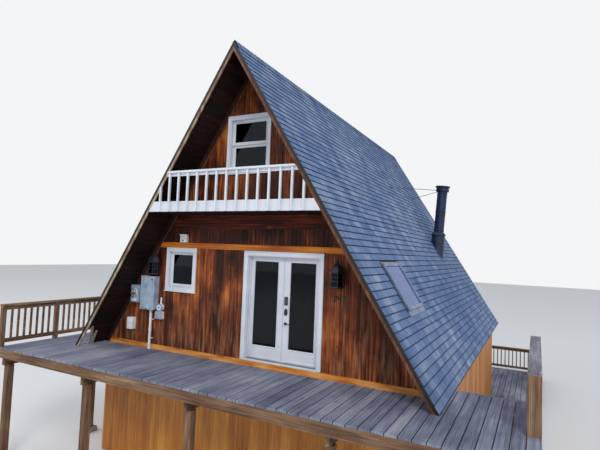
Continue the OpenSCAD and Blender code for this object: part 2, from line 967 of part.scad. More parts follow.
// Two stays from a band round the cap's collar to feet higher up the slope
module pipe_stays() {
    up = pipe_h - stay_drop;
    top = [pipe_x + up * sin(pipe_lean), pipe_y, pipe_z + up * cos(pipe_lean)];
    foot_z = ridge_z - rise * stay_foot_x / half_w;
    color(black_col) {
        pipe_axis()
            translate([0, 0, up - stay_band_h / 2])
                difference() {
                    cylinder(h = stay_band_h, d = cap_ring_d + 2 * stay_band_t);
                    translate([0, 0, -1])
                        cylinder(h = stay_band_h + 2, d = cap_ring_d + 2 * pipe_fit);
                }
        for (s = [-1, 1]) {
            foot = [stay_foot_x + foot_pad_t / 2 * sin(pitch), pipe_y + s * stay_spread,
                    foot_z + foot_pad_t / 2 * cos(pitch)];
            level = [foot[0] - top[0], foot[1] - top[1], 0];
            rod(top + level / norm(level) * (cap_ring_d / 2 + stay_band_t / 2), foot, stay_d);
            right_slope()
                translate([stay_foot_x / cos(pitch), pipe_y + s * stay_spread, 0])
                    cylinder(h = foot_pad_t, d = foot_pad_d);
        }
    }
}

// Balcony

rim_y = front_y - rake_t;
balcony_z = deck_h + loft_z;

module balcony_floor() {
    color(house_col)
        along_y(rim_y + timber_t, wall_front_y)
            polygon(fill_pts(balcony_z, balcony_z + loft_t, skin_t));
}

module balcony_rim_board() {
    edge = edge_d + rake_d + seat_fit;
    color(white_col) {
        along_y(rim_y, front_y)
            polygon(fill_pts(balcony_z, balcony_z + rim_h, edge));
        along_y(front_y, rim_y + timber_t)
            polygon(fill_pts(balcony_z, balcony_z + rim_h, skin_t));
    }
}

handrail_t = 38;
handrail_w = 92;
handrail_out = 14;
subrail_h = 64;

module balcony_railing() {
    edge = edge_d + rake_d + seat_fit;
    top = deck_h + handrail_z;
    under = top - handrail_t;
    out_y = rim_y - baluster_w - handrail_out;
    color(white_col) {
        // flat handrail and the rail below it
        along_y(out_y, out_y + handrail_w)
            polygon(fill_pts(under, top, edge));
        along_y(rim_y, rim_y + timber_t)
            polygon(fill_pts(under - subrail_h, under, edge));
        // balusters, the outer ones cut along the slope
        intersection() {
            along_y(rim_y - baluster_w, rim_y)
                polygon(fill_pts(balcony_z, under, edge));
            for (i = [0:baluster_n - 1]) {
                x = (i - (baluster_n - 1) / 2) * baluster_step;
                block([x - baluster_w / 2, rim_y - baluster_w, balcony_z],
                      [x + baluster_w / 2, rim_y, under]);
            }
        }
    }
}

// Fixtures on the front wall

lantern_body_h = 280;
lantern_top_w = 226;
lantern_lid_w = 250;
lantern_lid_h = 170;
lantern_tip_h = 70;
lantern_in = 180;
lantern_off = 330;
lantern_z = deck_h + lantern_up;
lantern_top = lantern_body_h + lantern_lid_h + lantern_tip_h;
lantern_xs = [left_x(lantern_z + lantern_top, lantern_in),
              clear_x1 + casing_reveal + casing_w + lantern_off];
plate_lamp_w = 110;
plate_lamp_h = 230;
plate_lamp_t = 18;
arm_d = 20;

// Half outline of a lantern: foot ring, tapering cage, bell-shaped lid and tip
module lantern_outline() {
    lid = lantern_body_h;
    r = lantern_lid_w / 2;
    polygon([
        [0, 0], [lantern_w * 0.4, 0], [lantern_w / 2, 14], [lantern_w / 2, 32],
        [lantern_top_w / 2, lid], [r, lid], [r, lid + 14],
        [r * 0.72, lid + lantern_lid_h * 0.34], [r * 0.56, lid + lantern_lid_h * 0.62],
        [r * 0.36, lid + lantern_lid_h * 0.8], [r * 0.12, lid + lantern_lid_h],
        [r * 0.12, lid + lantern_lid_h + lantern_tip_h * 0.3],
        [r * 0.2, lid + lantern_lid_h + lantern_tip_h * 0.5], [0, lantern_top]
    ]);
}

module lantern() {
    translate([-plate_lamp_w / 2, -plate_lamp_t, lantern_body_h / 2 - plate_lamp_h / 2])
        cube([plate_lamp_w, plate_lamp_t, plate_lamp_h]);
    translate([0, 0, lantern_body_h / 2])
        rotate([90, 0, 0])
            cylinder(h = lantern_out, d = arm_d);
    translate([0, -lantern_out, 0])
        rotate_extrude($fn = 6)
            lantern_outline();
}

module wall_lanterns() {
    color(black_col)
        for (x = lantern_xs)
            translate([x, wall_front_y, lantern_z])
                lantern();
}

sensor_off = 78;
sensor_gap = 5;
sensor_w = 185;
sensor_h = 180;
sensor_d = 80;
sensor_visor = 26;

// A box over the trim band with a visor along its top
module sensor_light() {
    x0 = side_win_x + side_win_w / 2 + sensor_off - sensor_w / 2;
    z0 = deck_h + band_z + band_h + sensor_gap;
    color(white_col) {
        block([x0, wall_front_y - sensor_d, z0], [x0 + sensor_w, wall_front_y, z0 + sensor_h]);
        block([x0, wall_front_y - sensor_d - sensor_visor, z0 + sensor_h - sensor_visor],
              [x0 + sensor_w, wall_front_y, z0 + sensor_h]);
    }
}

panel_in = 186;
panel_z = deck_h + panel_up;
panel_x = left_x(panel_z + panel_h, panel_in);
lid_t = 15;
lid_over = 8;
hood_h = 12;

// Panel case, its lid and the narrow hood over it
module electrical_panel() {
    y0 = wall_front_y - panel_d;
    color("lightsteelblue") {
        block([panel_x + lid_over, y0, panel_z + lid_over],
              [panel_x + panel_w - lid_over, wall_front_y, panel_z + panel_h - lid_over]);
        block([panel_x, y0, panel_z], [panel_x + panel_w, y0 + lid_t, panel_z + panel_h]);
        block([panel_x, y0 - lid_over, panel_z + panel_h],
              [panel_x + panel_w, wall_front_y, panel_z + panel_h + hood_h]);
    }
}

meter_w = 250;
meter_h = 390;
meter_d = 175;
meter_up = 1025;
meter_z = deck_h + meter_up;
meter_in = 24;
meter_x = left_x(meter_z + meter_h, meter_in);
dome_d = 175;
dome_up = 222;
dome_out = 70;
dome_rise = 30;
rim_d = 196;
rim_t = 24;

// Meter case with a round rim and a domed glass
module meter_box() {
    r = (dome_d * dome_d / 4 + dome_rise * dome_rise) / (2 * dome_rise);
    color("gray") {
        block([meter_x, wall_front_y - meter_d, meter_z],
              [meter_x + meter_w, wall_front_y, meter_z + meter_h]);
        translate([meter_x + meter_w / 2, wall_front_y - meter_d, meter_z + dome_up])
            rotate([90, 0, 0]) {
                cylinder(h = rim_t, d = rim_d);
                cylinder(h = dome_out, d = dome_d);
                intersection() {
                    cylinder(h = dome_out + dome_rise, d = dome_d);
                    translate([0, 0, dome_out + dome_rise - r])
                        sphere(r = r, $fn = 96);
                }
            }
    }
}

phone_w = 177;
phone_h = 277;
phone_d = 120;
phone_up = 385;
phone_z = deck_h + phone_up;
phone_in = 370;
phone_x = left_x(phone_z + phone_h, phone_in);

module phone_box() {
    color(white_col)
        block([phone_x, wall_front_y - phone_d, phone_z],
              [phone_x + phone_w, wall_front_y, phone_z + phone_h]);
}

conduit_d = 60;
conduit_in = 165;
switch_w = 185;
switch_h = 162;
switch_d = 100;
switch_drop = 190;
switch_off = 10;
round_d = 160;
round_t = 90;
round_up = 255;
thin_d = 38;
thin_off = 5;
thin_h = 470;

// Pipe from the panel down to the deck, and a small box with a round one and a thin pipe over it
module conduit() {
    x = panel_x + panel_w + switch_off;
    mid = x + switch_w / 2;
    z = panel_z - switch_drop;
    color(white_col) {
        translate([panel_x + panel_w - conduit_in,
                   wall_front_y - board_t - conduit_d / 2 - pipe_fit, deck_h])
            cylinder(h = panel_up, d = conduit_d);
        block([x, wall_front_y - switch_d, z], [x + switch_w, wall_front_y, z + switch_h]);
        translate([mid, wall_front_y, z + round_up])
            rotate([90, 0, 0])
                cylinder(h = round_t, d = round_d);
        translate([mid, wall_front_y - thin_d / 2 - thin_off, z])
            cylinder(h = thin_h, d = thin_d);
    }
}

// Front deck

deck_y0 = front_y - deck_front;
deck_x0 = -half_w - deck_left;
deck_x1 = half_w + deck_right;
return_y = front_y + deck_return;
joist_z = deck_h - deck_t - joist_h;
beam_z = joist_z - joist_h;

module main_deck() {
    color(deck_col)
        translate([0, 0, deck_h - deck_t])
            linear_extrude(height = deck_t)
                polygon([
                    [deck_x0, deck_y0], [deck_x1, deck_y0], [deck_x1, return_y],
                    [lower_half_w, return_y], [lower_half_w, wall_front_y],
                    [-lower_half_w, wall_front_y], [-lower_half_w, return_y], [deck_x0, return_y]
                ]);
}

beam_in = 90;
beam_n = 5;
beam_step = (deck_x1 - deck_x0 - 2 * beam_in) / (beam_n - 1);
beam_xs = [for (i = [0:beam_n - 1]) deck_x0 + beam_in + i * beam_step];
joist_n = 5;

// Joists across the boards, closed at both ends, and the frames of the two returns
module deck_joists() {
    step = (wall_front_y - timber_t - deck_y0) / (joist_n - 1);
    top = joist_z + joist_h;
    color(deck_col) {
        for (i = [0:joist_n - 1])
            block([deck_x0, deck_y0 + i * step, joist_z],
                  [deck_x1, deck_y0 + i * step + timber_t, top]);
        for (x = [deck_x0, deck_x1 - timber_t])
            block([x, deck_y0, joist_z], [x + timber_t, return_y, top]);
        for (x = [-lower_half_w - timber_t, lower_half_w])
            block([x, wall_front_y - timber_t, joist_z], [x + timber_t, return_y, top]);
        block([deck_x0, return_y - timber_t, joist_z], [-lower_half_w, return_y, top]);
        block([lower_half_w, return_y - timber_t, joist_z], [deck_x1, return_y, top]);
    }
}

module deck_beams() {
    color(deck_col)
        for (x = beam_xs)
            block([x - timber_t, deck_y0 + beam_in, beam_z], [x + timber_t, wall_front_y, joist_z]);
}

pad_w = 320;
pad_h = 120;

module deck_post(x, y, top) {
    block([x - post_w / 2, y - post_w / 2, pad_h], [x + post_w / 2, y + post_w / 2, top]);
    block([x - pad_w / 2, y - pad_w / 2, 0], [x + pad_w / 2, y + pad_w / 2, pad_h]);
}

module deck_posts() {
    color(deck_col) {
        for (x = beam_xs)
            deck_post(x, deck_y0 + beam_in + post_w, beam_z);
        for (x = [beam_xs[0], beam_xs[beam_n - 1]])
            deck_post(x, return_y - pad_w / 2 - timber_t, joist_z);
    }
}

// Rear terrace

terrace_y1 = wall_rear_y + terrace_l;
terrace_pts = [
    [lower_half_w, return_y], [deck_x1, return_y], [deck_x1, terrace_y1],
    [-lower_half_w, terrace_y1], [-lower_half_w, wall_rear_y], [lower_half_w, wall_rear_y]
];

module terrace_deck() {
    color(deck_col)
        translate([0, 0, terrace_h - deck_t])
            linear_extrude(height = deck_t)
                polygon(terrace_pts);
}

rear_sleepers = 7;
side_sleepers = 9;

// Sleepers on the ground, across the boards
module terrace_sleepers() {
    top = terrace_h - deck_t;
    rear_step = (terrace_l - timber_t * 2) / (rear_sleepers - 1);
    side_step = (wall_rear_y - return_y) / side_sleepers;
    color(deck_col) {
        for (i = [0:rear_sleepers - 1])
            block([-lower_half_w, wall_rear_y + i * rear_step, 0],
                  [deck_x1, wall_rear_y + i * rear_step + timber_t * 2, top]);
        for (i = [0:side_sleepers - 1])
            block([lower_half_w, return_y + i * side_step, 0],
                  [deck_x1, return_y + i * side_step + timber_t * 2, top]);
    }
}

// Railings

rail_cap_w = 140;
wide_cap_w = 178;
sub_rail_h = 89;
rail_low = 80;

half_post = rail_post_w / 2;

// Sub-rail, bottom rail and balusters between two posts, in the plane x = mid, over height z
module rail_bay(mid, y0, y1, z, h) {
    n = floor((y1 - y0) / rail_step);
    step = (y1 - y0) / n;
    half_t = timber_t / 2;
    cap_z = z + h - timber_t;
    block([mid - half_t, y0, cap_z - sub_rail_h], [mid + half_t, y1, cap_z]);
    block([mid - half_t, y0, z + rail_low], [mid + half_t, y1, z + rail_low + sub_rail_h]);
    for (i = [1:n - 1])
        block([mid - half_t, y0 + i * step - half_t, z + rail_low + sub_rail_h],
              [mid + half_t, y0 + i * step + half_t, cap_z - sub_rail_h]);
}

// A railing along Y with its posts' outer face at x: one cap over the posts, which stand at ys
module rail_line(x, ys, z, h, cap_w = rail_cap_w) {
    mid = x - half_post;
    last = len(ys) - 1;
    block([mid - cap_w / 2, ys[0] - half_post, z + h - timber_t],
          [mid + cap_w / 2, ys[last] + half_post, z + h]);
    for (i = [0:last - 1])
        rail_bay(mid, ys[i] + half_post, ys[i + 1] - half_post, z, h);
}

// A rail post with its outer face at x and its middle at y
module rail_post(x, y, z0, z1) {
    block([x - rail_post_w, y - half_post, z0], [x, y + half_post, z1]);
}

// Places of the posts along each railing
right_x = deck_x1 - half_post;
right_start = 100;
right_ys = [front_y - right_start, return_y - half_post, front_y + rail_right_l];
left_ys = [deck_y0 + half_post, (deck_y0 + return_y) / 2, return_y - half_post];
side_ys = [wall_rear_y + half_post, wall_rear_y + terrace_l / 2, terrace_y1 - half_post];
rear_xs = [for (i = [0:4])
    -lower_half_w + half_post + i * (deck_x1 + lower_half_w - rail_post_w) / 4];

module railing_right() {
    color(deck_col)
        rail_line(right_x, right_ys, deck_h, rail_h, wide_cap_w);
}

module railing_left() {
    color(deck_col)
        rail_line(deck_x0 + rail_post_w, left_ys, deck_h, guard_h);
}

// Side railings of the terrace stop against the rear one's cap
module terrace_side_rail(x) {
    stop = (rail_cap_w - rail_post_w) / 2;
    difference() {
        rail_line(x, side_ys, terrace_h, guard_h);
        block([x - deck_x1, terrace_y1 - rail_post_w - stop, 0],
              [x + deck_x1, terrace_y1 + deck_x1, deck_h]);
    }
}

module railing_terrace_right() {
    color(deck_col)
        terrace_side_rail(deck_x1);
}

module railing_terrace_left() {
    color(deck_col)
        terrace_side_rail(-lower_half_w + rail_post_w);
}

// A railing along Y, turned a quarter
module railing_terrace_rear() {
    color(deck_col)
        translate([0, terrace_y1, 0])
            rotate([0, 0, 90])
                rail_line(0, [for (i = [0:4]) -rear_xs[4 - i]], terrace_h, guard_h);
}

// Every rail post of the deck and the terrace
module rail_posts() {
    right_top = deck_h + rail_h - timber_t;
    left_top = deck_h + guard_h - timber_t;
    low_top = terrace_h + guard_h - timber_t;
    left_x = deck_x0 + rail_post_w;
    color(deck_col) {
        rail_post(deck_x1, right_ys[0], deck_h, right_top);
        rail_post(deck_x1 - rail_post_w, right_ys[0], deck_h, right_top);
        rail_post(right_x, right_ys[1], deck_h, right_top);
        rail_post(right_x, right_ys[2], terrace_h, right_top);
        for (y = left_ys)
            rail_post(left_x, y, deck_h, left_top);
        for (i = [0:1]) {
            rail_post(deck_x1, side_ys[i], terrace_h, low_top);
            rail_post(-lower_half_w + rail_post_w, side_ys[i], terrace_h, low_top);
        }
        for (x = rear_xs)
            rail_post(x + half_post, terrace_y1 - half_post, terrace_h, low_top);
    }
}

ground_slab();
lower_wall_right();
lower_wall_left();
lower_wall_front();
lower_wall_rear();
main_floor();
loft_floor();
front_wall_left();
front_wall_right();
front_wall_head();
front_gable_wall();
rear_wall();
roof_left();
roof_right();
ridge_cap();
rake_boards();
roof_edge_metal();
eave_boards();
wall_trim();
eave_stub();
door_frame();
door_leaf_left();
door_leaf_right();
door_glass_left();
door_glass_right();
door_handle_set();
window_frames();
window_glass();
skylight_frame();
skylight_glass();
stove_pipe();
pipe_cap();
pipe_flashing();
pipe_stays();
balcony_floor();
balcony_rim_board();
balcony_railing();
wall_lanterns();
sensor_light();
electrical_panel();
meter_box();
phone_box();
conduit();
main_deck();
deck_joists();
deck_beams();
deck_posts();
terrace_deck();
terrace_sleepers();
railing_right();
railing_left();
railing_terrace_right();
railing_terrace_left();
railing_terrace_rear();
rail_posts();
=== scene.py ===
import math

import bpy
import numpy as np
from mathutils import Matrix, Vector


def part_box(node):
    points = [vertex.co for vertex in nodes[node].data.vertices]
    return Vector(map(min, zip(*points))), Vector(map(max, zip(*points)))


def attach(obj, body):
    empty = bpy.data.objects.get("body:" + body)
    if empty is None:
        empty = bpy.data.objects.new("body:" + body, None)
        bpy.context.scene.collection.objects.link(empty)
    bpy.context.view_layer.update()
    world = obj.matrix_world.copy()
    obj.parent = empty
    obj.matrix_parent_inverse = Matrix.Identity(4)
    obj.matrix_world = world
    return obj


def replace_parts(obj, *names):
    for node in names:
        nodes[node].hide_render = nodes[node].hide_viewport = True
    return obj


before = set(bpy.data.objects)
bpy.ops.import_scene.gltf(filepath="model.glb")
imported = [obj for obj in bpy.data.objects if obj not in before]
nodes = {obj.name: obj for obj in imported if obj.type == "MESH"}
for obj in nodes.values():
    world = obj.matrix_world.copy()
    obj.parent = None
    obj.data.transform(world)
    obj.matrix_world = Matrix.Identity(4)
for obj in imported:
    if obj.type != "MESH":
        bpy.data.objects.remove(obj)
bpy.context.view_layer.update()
print("frame loaded,", len(nodes), "nodes")

rng = np.random.default_rng(41)

# main lines of the house, read off the frame, in metres
roofLow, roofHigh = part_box("roof_left")
deckTop = roofLow.z
ridgeTop = roofHigh.z
halfWidth = -roofLow.x
rise = ridgeTop - deckTop
roofAngle = math.atan2(rise, halfWidth)
slopeLength = math.hypot(rise, halfWidth)
frontRake, rearRake = roofLow.y, roofHigh.y
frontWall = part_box("front_wall_left")[0].y
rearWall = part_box("rear_wall")[1].y
skin = 0.060  # thickness of the roof boarding, square to the slope
rideHouse = "house"


def innerHalf(z, thickness=skin):
    # half the width under the roof at height z: it shrinks evenly from the eave to the ridge
    return halfWidth * (1 - (z - deckTop) / rise) - thickness / math.sin(roofAngle)


def roofHeight(x, thickness=skin):
    # height of the roof's underside over x: the ridge less the slope times |x|
    return ridgeTop - rise / halfWidth * np.abs(x) - thickness / math.cos(roofAngle)


# colours and nodes

def linear(hexColour):
    # sRGB hex to linear light, with an alpha of 1
    parts = [int(hexColour[i:i + 2], 16) / 255 for i in (1, 3, 5)]
    return tuple(c / 12.92 if c <= 0.04045 else ((c + 0.055) / 1.055) ** 2.4 for c in parts) + (1.0,)


def addNode(material, kind, settings=None, links=None):
    # one shader node: sockets or properties set by name or number, ramp stops, and its inputs linked
    node = material.node_tree.nodes.new(kind)
    for key, value in (settings or {}).items():
        if key == "stops":
            while len(node.color_ramp.elements) < len(value):
                node.color_ramp.elements.new(0.5)
            for element, (position, colour) in zip(node.color_ramp.elements, value):
                element.position, element.color = position, linear(colour)
        elif isinstance(key, int) or key in node.inputs:
            node.inputs[key].default_value = value
        else:
            setattr(node, key, value)
    for key, source in (links or {}).items():
        material.node_tree.links.new(source, node.inputs[key])
    return node


def newMaterial(name):
    # a node material and its Principled shader
    material = bpy.data.materials.new(name)
    material.use_nodes = True
    return material, material.node_tree.nodes["Principled BSDF"]


def grainScale(axis, widthMm, lengthMm):
    # texture repeats per metre: fine across the board, long along the grain axis
    scale = [1000 / widthMm] * 3
    scale["xyz".index(axis)] = 1000 / lengthMm
    return scale


# what all wood has alike; patterns in mm, across and along the grain
woodSet = {"grainShift": (37, 37, 37), "roughness": 0.58, "knotMm": (190, 560), "knotPick": (0.66, 0.74),
           "bareAndLitMm": (80, 640), "bareAndLitTo": 0.66, "gapShadeFacing": (0.80, 0.97), "specular": 0.25}


def woodFinish(name, look, axis):
    # sawn softwood: value = weighed sum of fine grain, streaks, slow weathering and the board's tone,
    # turned into colour by a ramp; then knots with a warm rim, lighter patches near the foot or along one
    # axis, partly wear and partly painted light, and painted shade on faces that look sideways
    material, shader = newMaterial(name)
    tree = material.node_tree
    place = addNode(material, "ShaderNodeTexCoord").outputs["Object"]
    tone = addNode(material, "ShaderNodeAttribute", {"attribute_name": "boardTone"}).outputs["Fac"]
    # the tone also moves the pattern, so that no board carries on its neighbour's grain
    moved = addNode(material, "ShaderNodeVectorMath", {"operation": "MULTIPLY_ADD",
                                                       1: woodSet["grainShift"]},
                    {0: tone, 2: place}).outputs[0]
    fields = []
    for key, source, detail in (("grain", moved, 5.0), ("streak", moved, 4.0), ("patch", place, 3.0)):
        drawn = addNode(material, "ShaderNodeMapping", {"Scale": grainScale(axis, *look[key][:2])},
                        {"Vector": source})
        fields.append(addNode(material, "ShaderNodeTexNoise",
                              {"Scale": 1.0, "Detail": detail, "Roughness": woodSet["roughness"]},
                              {"Vector": drawn.outputs[0]}).outputs["Fac"])
    shares = [look[key][2] for key in ("grain", "streak", "patch")]
    trio = addNode(material, "ShaderNodeCombineXYZ", links=dict(zip("XYZ", fields)))
    summed = addNode(material, "ShaderNodeVectorMath", {"operation": "DOT_PRODUCT", 1: shares},
                     {0: trio.outputs[0]})
    toned = addNode(material, "ShaderNodeMath", {"operation": "MULTIPLY_ADD", 1: look["toneSpread"]},
                    {0: tone, 2: summed.outputs["Value"]})
    value = addNode(material, "ShaderNodeMath", {"operation": "ADD", "use_clamp": True,
                                                 1: 0.5 - 0.5 * sum(shares)}, {0: toned.outputs[0]})
    colour = addNode(material, "ShaderNodeValToRGB", {"stops": look["stops"]},
                     {"Fac": value.outputs[0]}).outputs["Color"]
    if "knots" in look:
        cells = addNode(material, "ShaderNodeMapping", {"Scale": grainScale(axis, *woodSet["knotMm"])},
                        {"Vector": moved})
        spot = addNode(material, "ShaderNodeTexVoronoi", {"Scale": 1.0}, {"Vector": cells.outputs[0]})
        pick = addNode(material, "ShaderNodeSeparateColor", links={"Color": spot.outputs["Color"]})
        for tint, near, far, share in look["knots"]:
            rare = addNode(material, "ShaderNodeMapRange",
                           {"From Min": woodSet["knotPick"][0], "From Max": woodSet["knotPick"][1],
                            "To Max": share},
                           {"Value": pick.outputs[0]})
            amount = addNode(material, "ShaderNodeMapRange",
                             {"From Min": near, "From Max": far, "To Max": 0.0},
                             {"Value": spot.outputs["Distance"], "To Min": rare.outputs[0]})
            colour = addNode(material, "ShaderNodeMix", {"data_type": "RGBA", 7: linear(tint)},
                             {0: amount.outputs[0], 6: colour}).outputs[2]
    # lighter patches: partly wear, and on the left rake and the orange foot board painted light
    if "wearAndPaintedLight" in look:
        wearAndPaintedLight = look["wearAndPaintedLight"]
        height = addNode(material, "ShaderNodeSeparateXYZ", links={"Vector": place})
        low = addNode(material, "ShaderNodeMapRange",
                      {"From Min": wearAndPaintedLight["foot"], "From Max": wearAndPaintedLight["top"], "To Min": wearAndPaintedLight["share"],
                       "To Max": 0.0}, {"Value": height.outputs[wearAndPaintedLight.get("along", "Z")]})
        drawn = addNode(material, "ShaderNodeMapping", {"Scale": grainScale(axis, *woodSet["bareAndLitMm"])},
                        {"Vector": place})
        bare = addNode(material, "ShaderNodeTexNoise", {"Scale": 1.0, "Detail": 4.0},
                       {"Vector": drawn.outputs[0]})
        amount = addNode(material, "ShaderNodeMapRange",
                         {"From Min": wearAndPaintedLight.get("bareAndLitFrom", 0.48), "From Max": woodSet["bareAndLitTo"]},
                         {"Value": bare.outputs["Fac"], "To Max": low.outputs[0]})
        colour = addNode(material, "ShaderNodeMix", {"data_type": "RGBA", 7: linear(wearAndPaintedLight["colour"])},
                         {0: amount.outputs[0], 6: colour}).outputs[2]
    # painted shade: faces that look sideways darken, so the gaps between boards read dark
    if "joints" in look:
        normal = addNode(material, "ShaderNodeNewGeometry").outputs["True Normal"]
        across = addNode(material, "ShaderNodeSeparateXYZ", links={"Vector": normal}).outputs["X"]
        size = addNode(material, "ShaderNodeMath", {"operation": "ABSOLUTE"}, {0: across})
        facing = woodSet["gapShadeFacing"]
        amount = addNode(material, "ShaderNodeMapRange", {"From Min": facing[0], "From Max": facing[1]},
                         {"Value": size.outputs[0]})
        colour = addNode(material, "ShaderNodeMix", {"data_type": "RGBA", 7: linear(look["joints"])},
                         {0: amount.outputs[0], 6: colour}).outputs[2]
    tree.links.new(colour, shader.inputs["Base Color"])
    rough = addNode(material, "ShaderNodeMapRange",
                    {"From Min": 0.25, "From Max": 0.75, "To Min": look["rough"][0],
                     "To Max": look["rough"][1]}, {"Value": fields[0]})
    tree.links.new(rough.outputs[0], shader.inputs["Roughness"])
    bump = addNode(material, "ShaderNodeBump", {"Strength": look["bump"], "Distance": 0.002},
                   {"Height": fields[0]})
    tree.links.new(bump.outputs["Normal"], shader.inputs["Normal"])
    shader.inputs["Specular IOR Level"].default_value = look.get("specular", woodSet["specular"])
    return material


# grain, streak and patch: width and length of the pattern in mm, and its share of the colour.
# red-brown stained cedar boards: dark grain with rust-orange between, satin where stain is thick
sidingLook = {
    "grain": (13, 800, 0.95), "streak": (52, 1100, 0.75), "patch": (520, 800, 1.0),
    "toneSpread": 0.22, "rough": (0.48, 0.72), "bump": 0.35, "specular": 0.2,
    "knots": (("#96491c", 0.08, 0.20, 0.55), ("#1a0b05", 0.03, 0.09, 0.9)),
    "wearAndPaintedLight": {"foot": deckTop + 0.1, "top": deckTop + 1.8, "share": 0.75, "colour": "#9a6a4a"},
    "stops": [(0.12, "#150905"), (0.34, "#30140b"), (0.50, "#522512"), (0.66, "#7c3c1e"),
              (0.90, "#c4722e")]}
siding = woodFinish("cedar boards with red-brown stain", sidingLook, "z")
# under balcony and eaves the boards are drawn darker, partly darker stain and partly painted shade, and
# without the lighter patches at the foot
shadedLook = {key: value for key, value in sidingLook.items() if key != "wearAndPaintedLight"}
shadedLook["stops"] = [(0.14, "#110705"), (0.36, "#260f09"), (0.52, "#3f1a0f"), (0.70, "#632c15"),
                       (0.90, "#9c5322")]
upperSiding = woodFinish("upper cedar boards with red-brown stain and painted shade",
                         dict(shadedLook, streak=(36, 700, 0.9)), "z")
levelSiding = woodFinish("level cedar boards with red-brown stain and painted shade", dict(
    shadedLook, patch=(300, 1500, 0.6),
    stops=[(0.14, "#1a0805"), (0.36, "#39120a"), (0.52, "#5c2310"), (0.70, "#8b3a18"),
           (0.90, "#cc6a2c")]), "x")
gableSiding = woodFinish("gable cedar boards with red-brown stain and painted shade", dict(
    shadedLook, stops=[(0.14, "#1a0a06"), (0.36, "#3a170d"), (0.50, "#5e2a15"), (0.66, "#8d4a1f"),
                       (0.88, "#c67a30")]), "z")

# soffit boarding: the same stain, kept near black as painted shade under the eaves
soffitLook = {"grain": (14, 700, 0.8), "streak": (60, 1200, 0.7), "patch": (300, 900, 0.6),
              "toneSpread": 0.22, "rough": (0.55, 0.8), "bump": 0.3,
              "stops": [(0.20, "#0c0504"), (0.50, "#1b0c08"), (0.80, "#391a0f")]}
soffitWood = woodFinish("stained soffit boards in painted shade", soffitLook, "y")
# frieze boards along the soffit: near black too, partly stain and partly painted shade
joinWood = woodFinish("stained corner boards in painted shade", dict(
    soffitLook, stops=[(0.20, "#160905"), (0.50, "#29130b"), (0.80, "#4a2616")]), "z")
# trim along the rakes: red-brown stain; the left rake is drawn lighter except near the ridge, a painted
# highlight where light falls on it
rakeLook = {"grain": (12, 800, 0.8), "streak": (30, 900, 0.7), "patch": (160, 1100, 0.8),
            "toneSpread": 0.1, "rough": (0.5, 0.75), "bump": 0.3,
            "stops": [(0.18, "#352019"), (0.45, "#573829"), (0.62, "#704b38"), (0.85, "#916a50")]}
rakeWood = woodFinish("brown stained rake trim", dict(
    rakeLook, wearAndPaintedLight={"along": "X", "foot": -0.9, "top": 0.2, "share": 0.85, "bareAndLitFrom": 0.30,
                    "colour": "#c4b199"}), "z")
stripWood = woodFinish("brown stained frieze strips", rakeLook, "z")
# floor and eave boards from below: the same stain, a little more open
levelTrim = woodFinish("brown stained eave boards", dict(
    soffitLook, stops=[(0.20, "#23140e"), (0.50, "#3b261b"), (0.80, "#5d4232")]), "y")

# fresh orange-brown stain on the band and the foot board
orangeLook = {"grain": (12, 800, 0.7), "streak": (34, 1200, 0.7), "patch": (500, 1300, 0.9),
              "toneSpread": 0.2, "rough": (0.42, 0.62), "bump": 0.25,
              "knots": (("#8a4414", 0.08, 0.18, 0.5), ("#3a1808", 0.03, 0.08, 0.8)),
              # lighter near the foot board: partly wear, partly painted sunlight
              "wearAndPaintedLight": {"foot": deckTop + 0.2, "top": deckTop + 0.5, "share": 0.75, "bareAndLitFrom": 0.36,
                       "colour": "#efb062"},
              "stops": [(0.16, "#77390f"), (0.42, "#a85819"), (0.60, "#c97424"), (0.86, "#e89c40")]}
orangeWood = woodFinish("orange-brown stained trim", orangeLook, "x")

# honey stain on the lower storey's boards: even and a little glossy
honeyLook = {"grain": (16, 900, 0.6), "streak": (60, 1600, 0.6), "patch": (500, 1400, 0.6),
             "toneSpread": 0.18, "rough": (0.40, 0.60), "bump": 0.2, "specular": 0.35,
             "knots": (("#8a5220", 0.08, 0.18, 0.5), ("#4a2810", 0.03, 0.08, 0.8)),
             "stops": [(0.18, "#8a4d1a"), (0.50, "#b97530"), (0.82, "#e0a14c")]}
honeyWood = woodFinish("lower boards with honey stain", honeyLook, "z")

# deck boards: silvered pine, blue-grey, with dark grain, pale wear and painted shade on the boards' sides
# in the gaps
deckLook = {"grain": (9, 620, 0.8), "streak": (40, 1400, 0.6), "patch": (600, 1300, 0.8),
            "toneSpread": 0.18, "rough": (0.70, 0.90), "bump": 0.4, "joints": "#17171a",
            "knots": (("#6b6564", 0.08, 0.16, 0.4), ("#3d3937", 0.03, 0.08, 0.7)),
            "stops": [(0.15, "#414355"), (0.42, "#6b7085"), (0.60, "#888b9b"), (0.86, "#b3b1b4")]}
deckWood = woodFinish("weathered deck boards", deckLook, "y")
# rails, posts and cross timbers: brown stain thinned by the weather
railLook = {"grain": (9, 620, 0.8), "streak": (34, 900, 0.7), "patch": (300, 1100, 0.8),
            "toneSpread": 0.1, "rough": (0.68, 0.88), "bump": 0.4,
            "stops": [(0.15, "#33241d"), (0.42, "#644a38"), (0.62, "#84684f"), (0.85, "#a89077")]}
railWood = woodFinish("weathered brown rail timber", railLook, "y")
postWood = woodFinish("weathered brown posts", railLook, "z")
crossWood = woodFinish("weathered brown cross timbers", railLook, "x")
# top boards of the rails: the stain is gone and the sun has silvered them
greyLook = dict(railLook, stops=[(0.15, "#464449"), (0.42, "#76747e"), (0.62, "#9593a0"),
                                 (0.85, "#b9b7c1")])
capWood = woodFinish("silvered rail caps", greyLook, "y")
# the broken board end: bare, pale fibres
stubWood = woodFinish("bare weathered board end", dict(
    railLook, stops=[(0.15, "#6f645a"), (0.42, "#a3988c"), (0.62, "#c2b9ae"), (0.85, "#ddd7ce")]), "z")
# indoor floors: dry pine boards, never silvered
floorWood = woodFinish("indoor floor boards", dict(
    deckLook, stops=[(0.15, "#5d4029"), (0.48, "#8a6541"), (0.85, "#ae895c")]), "y")


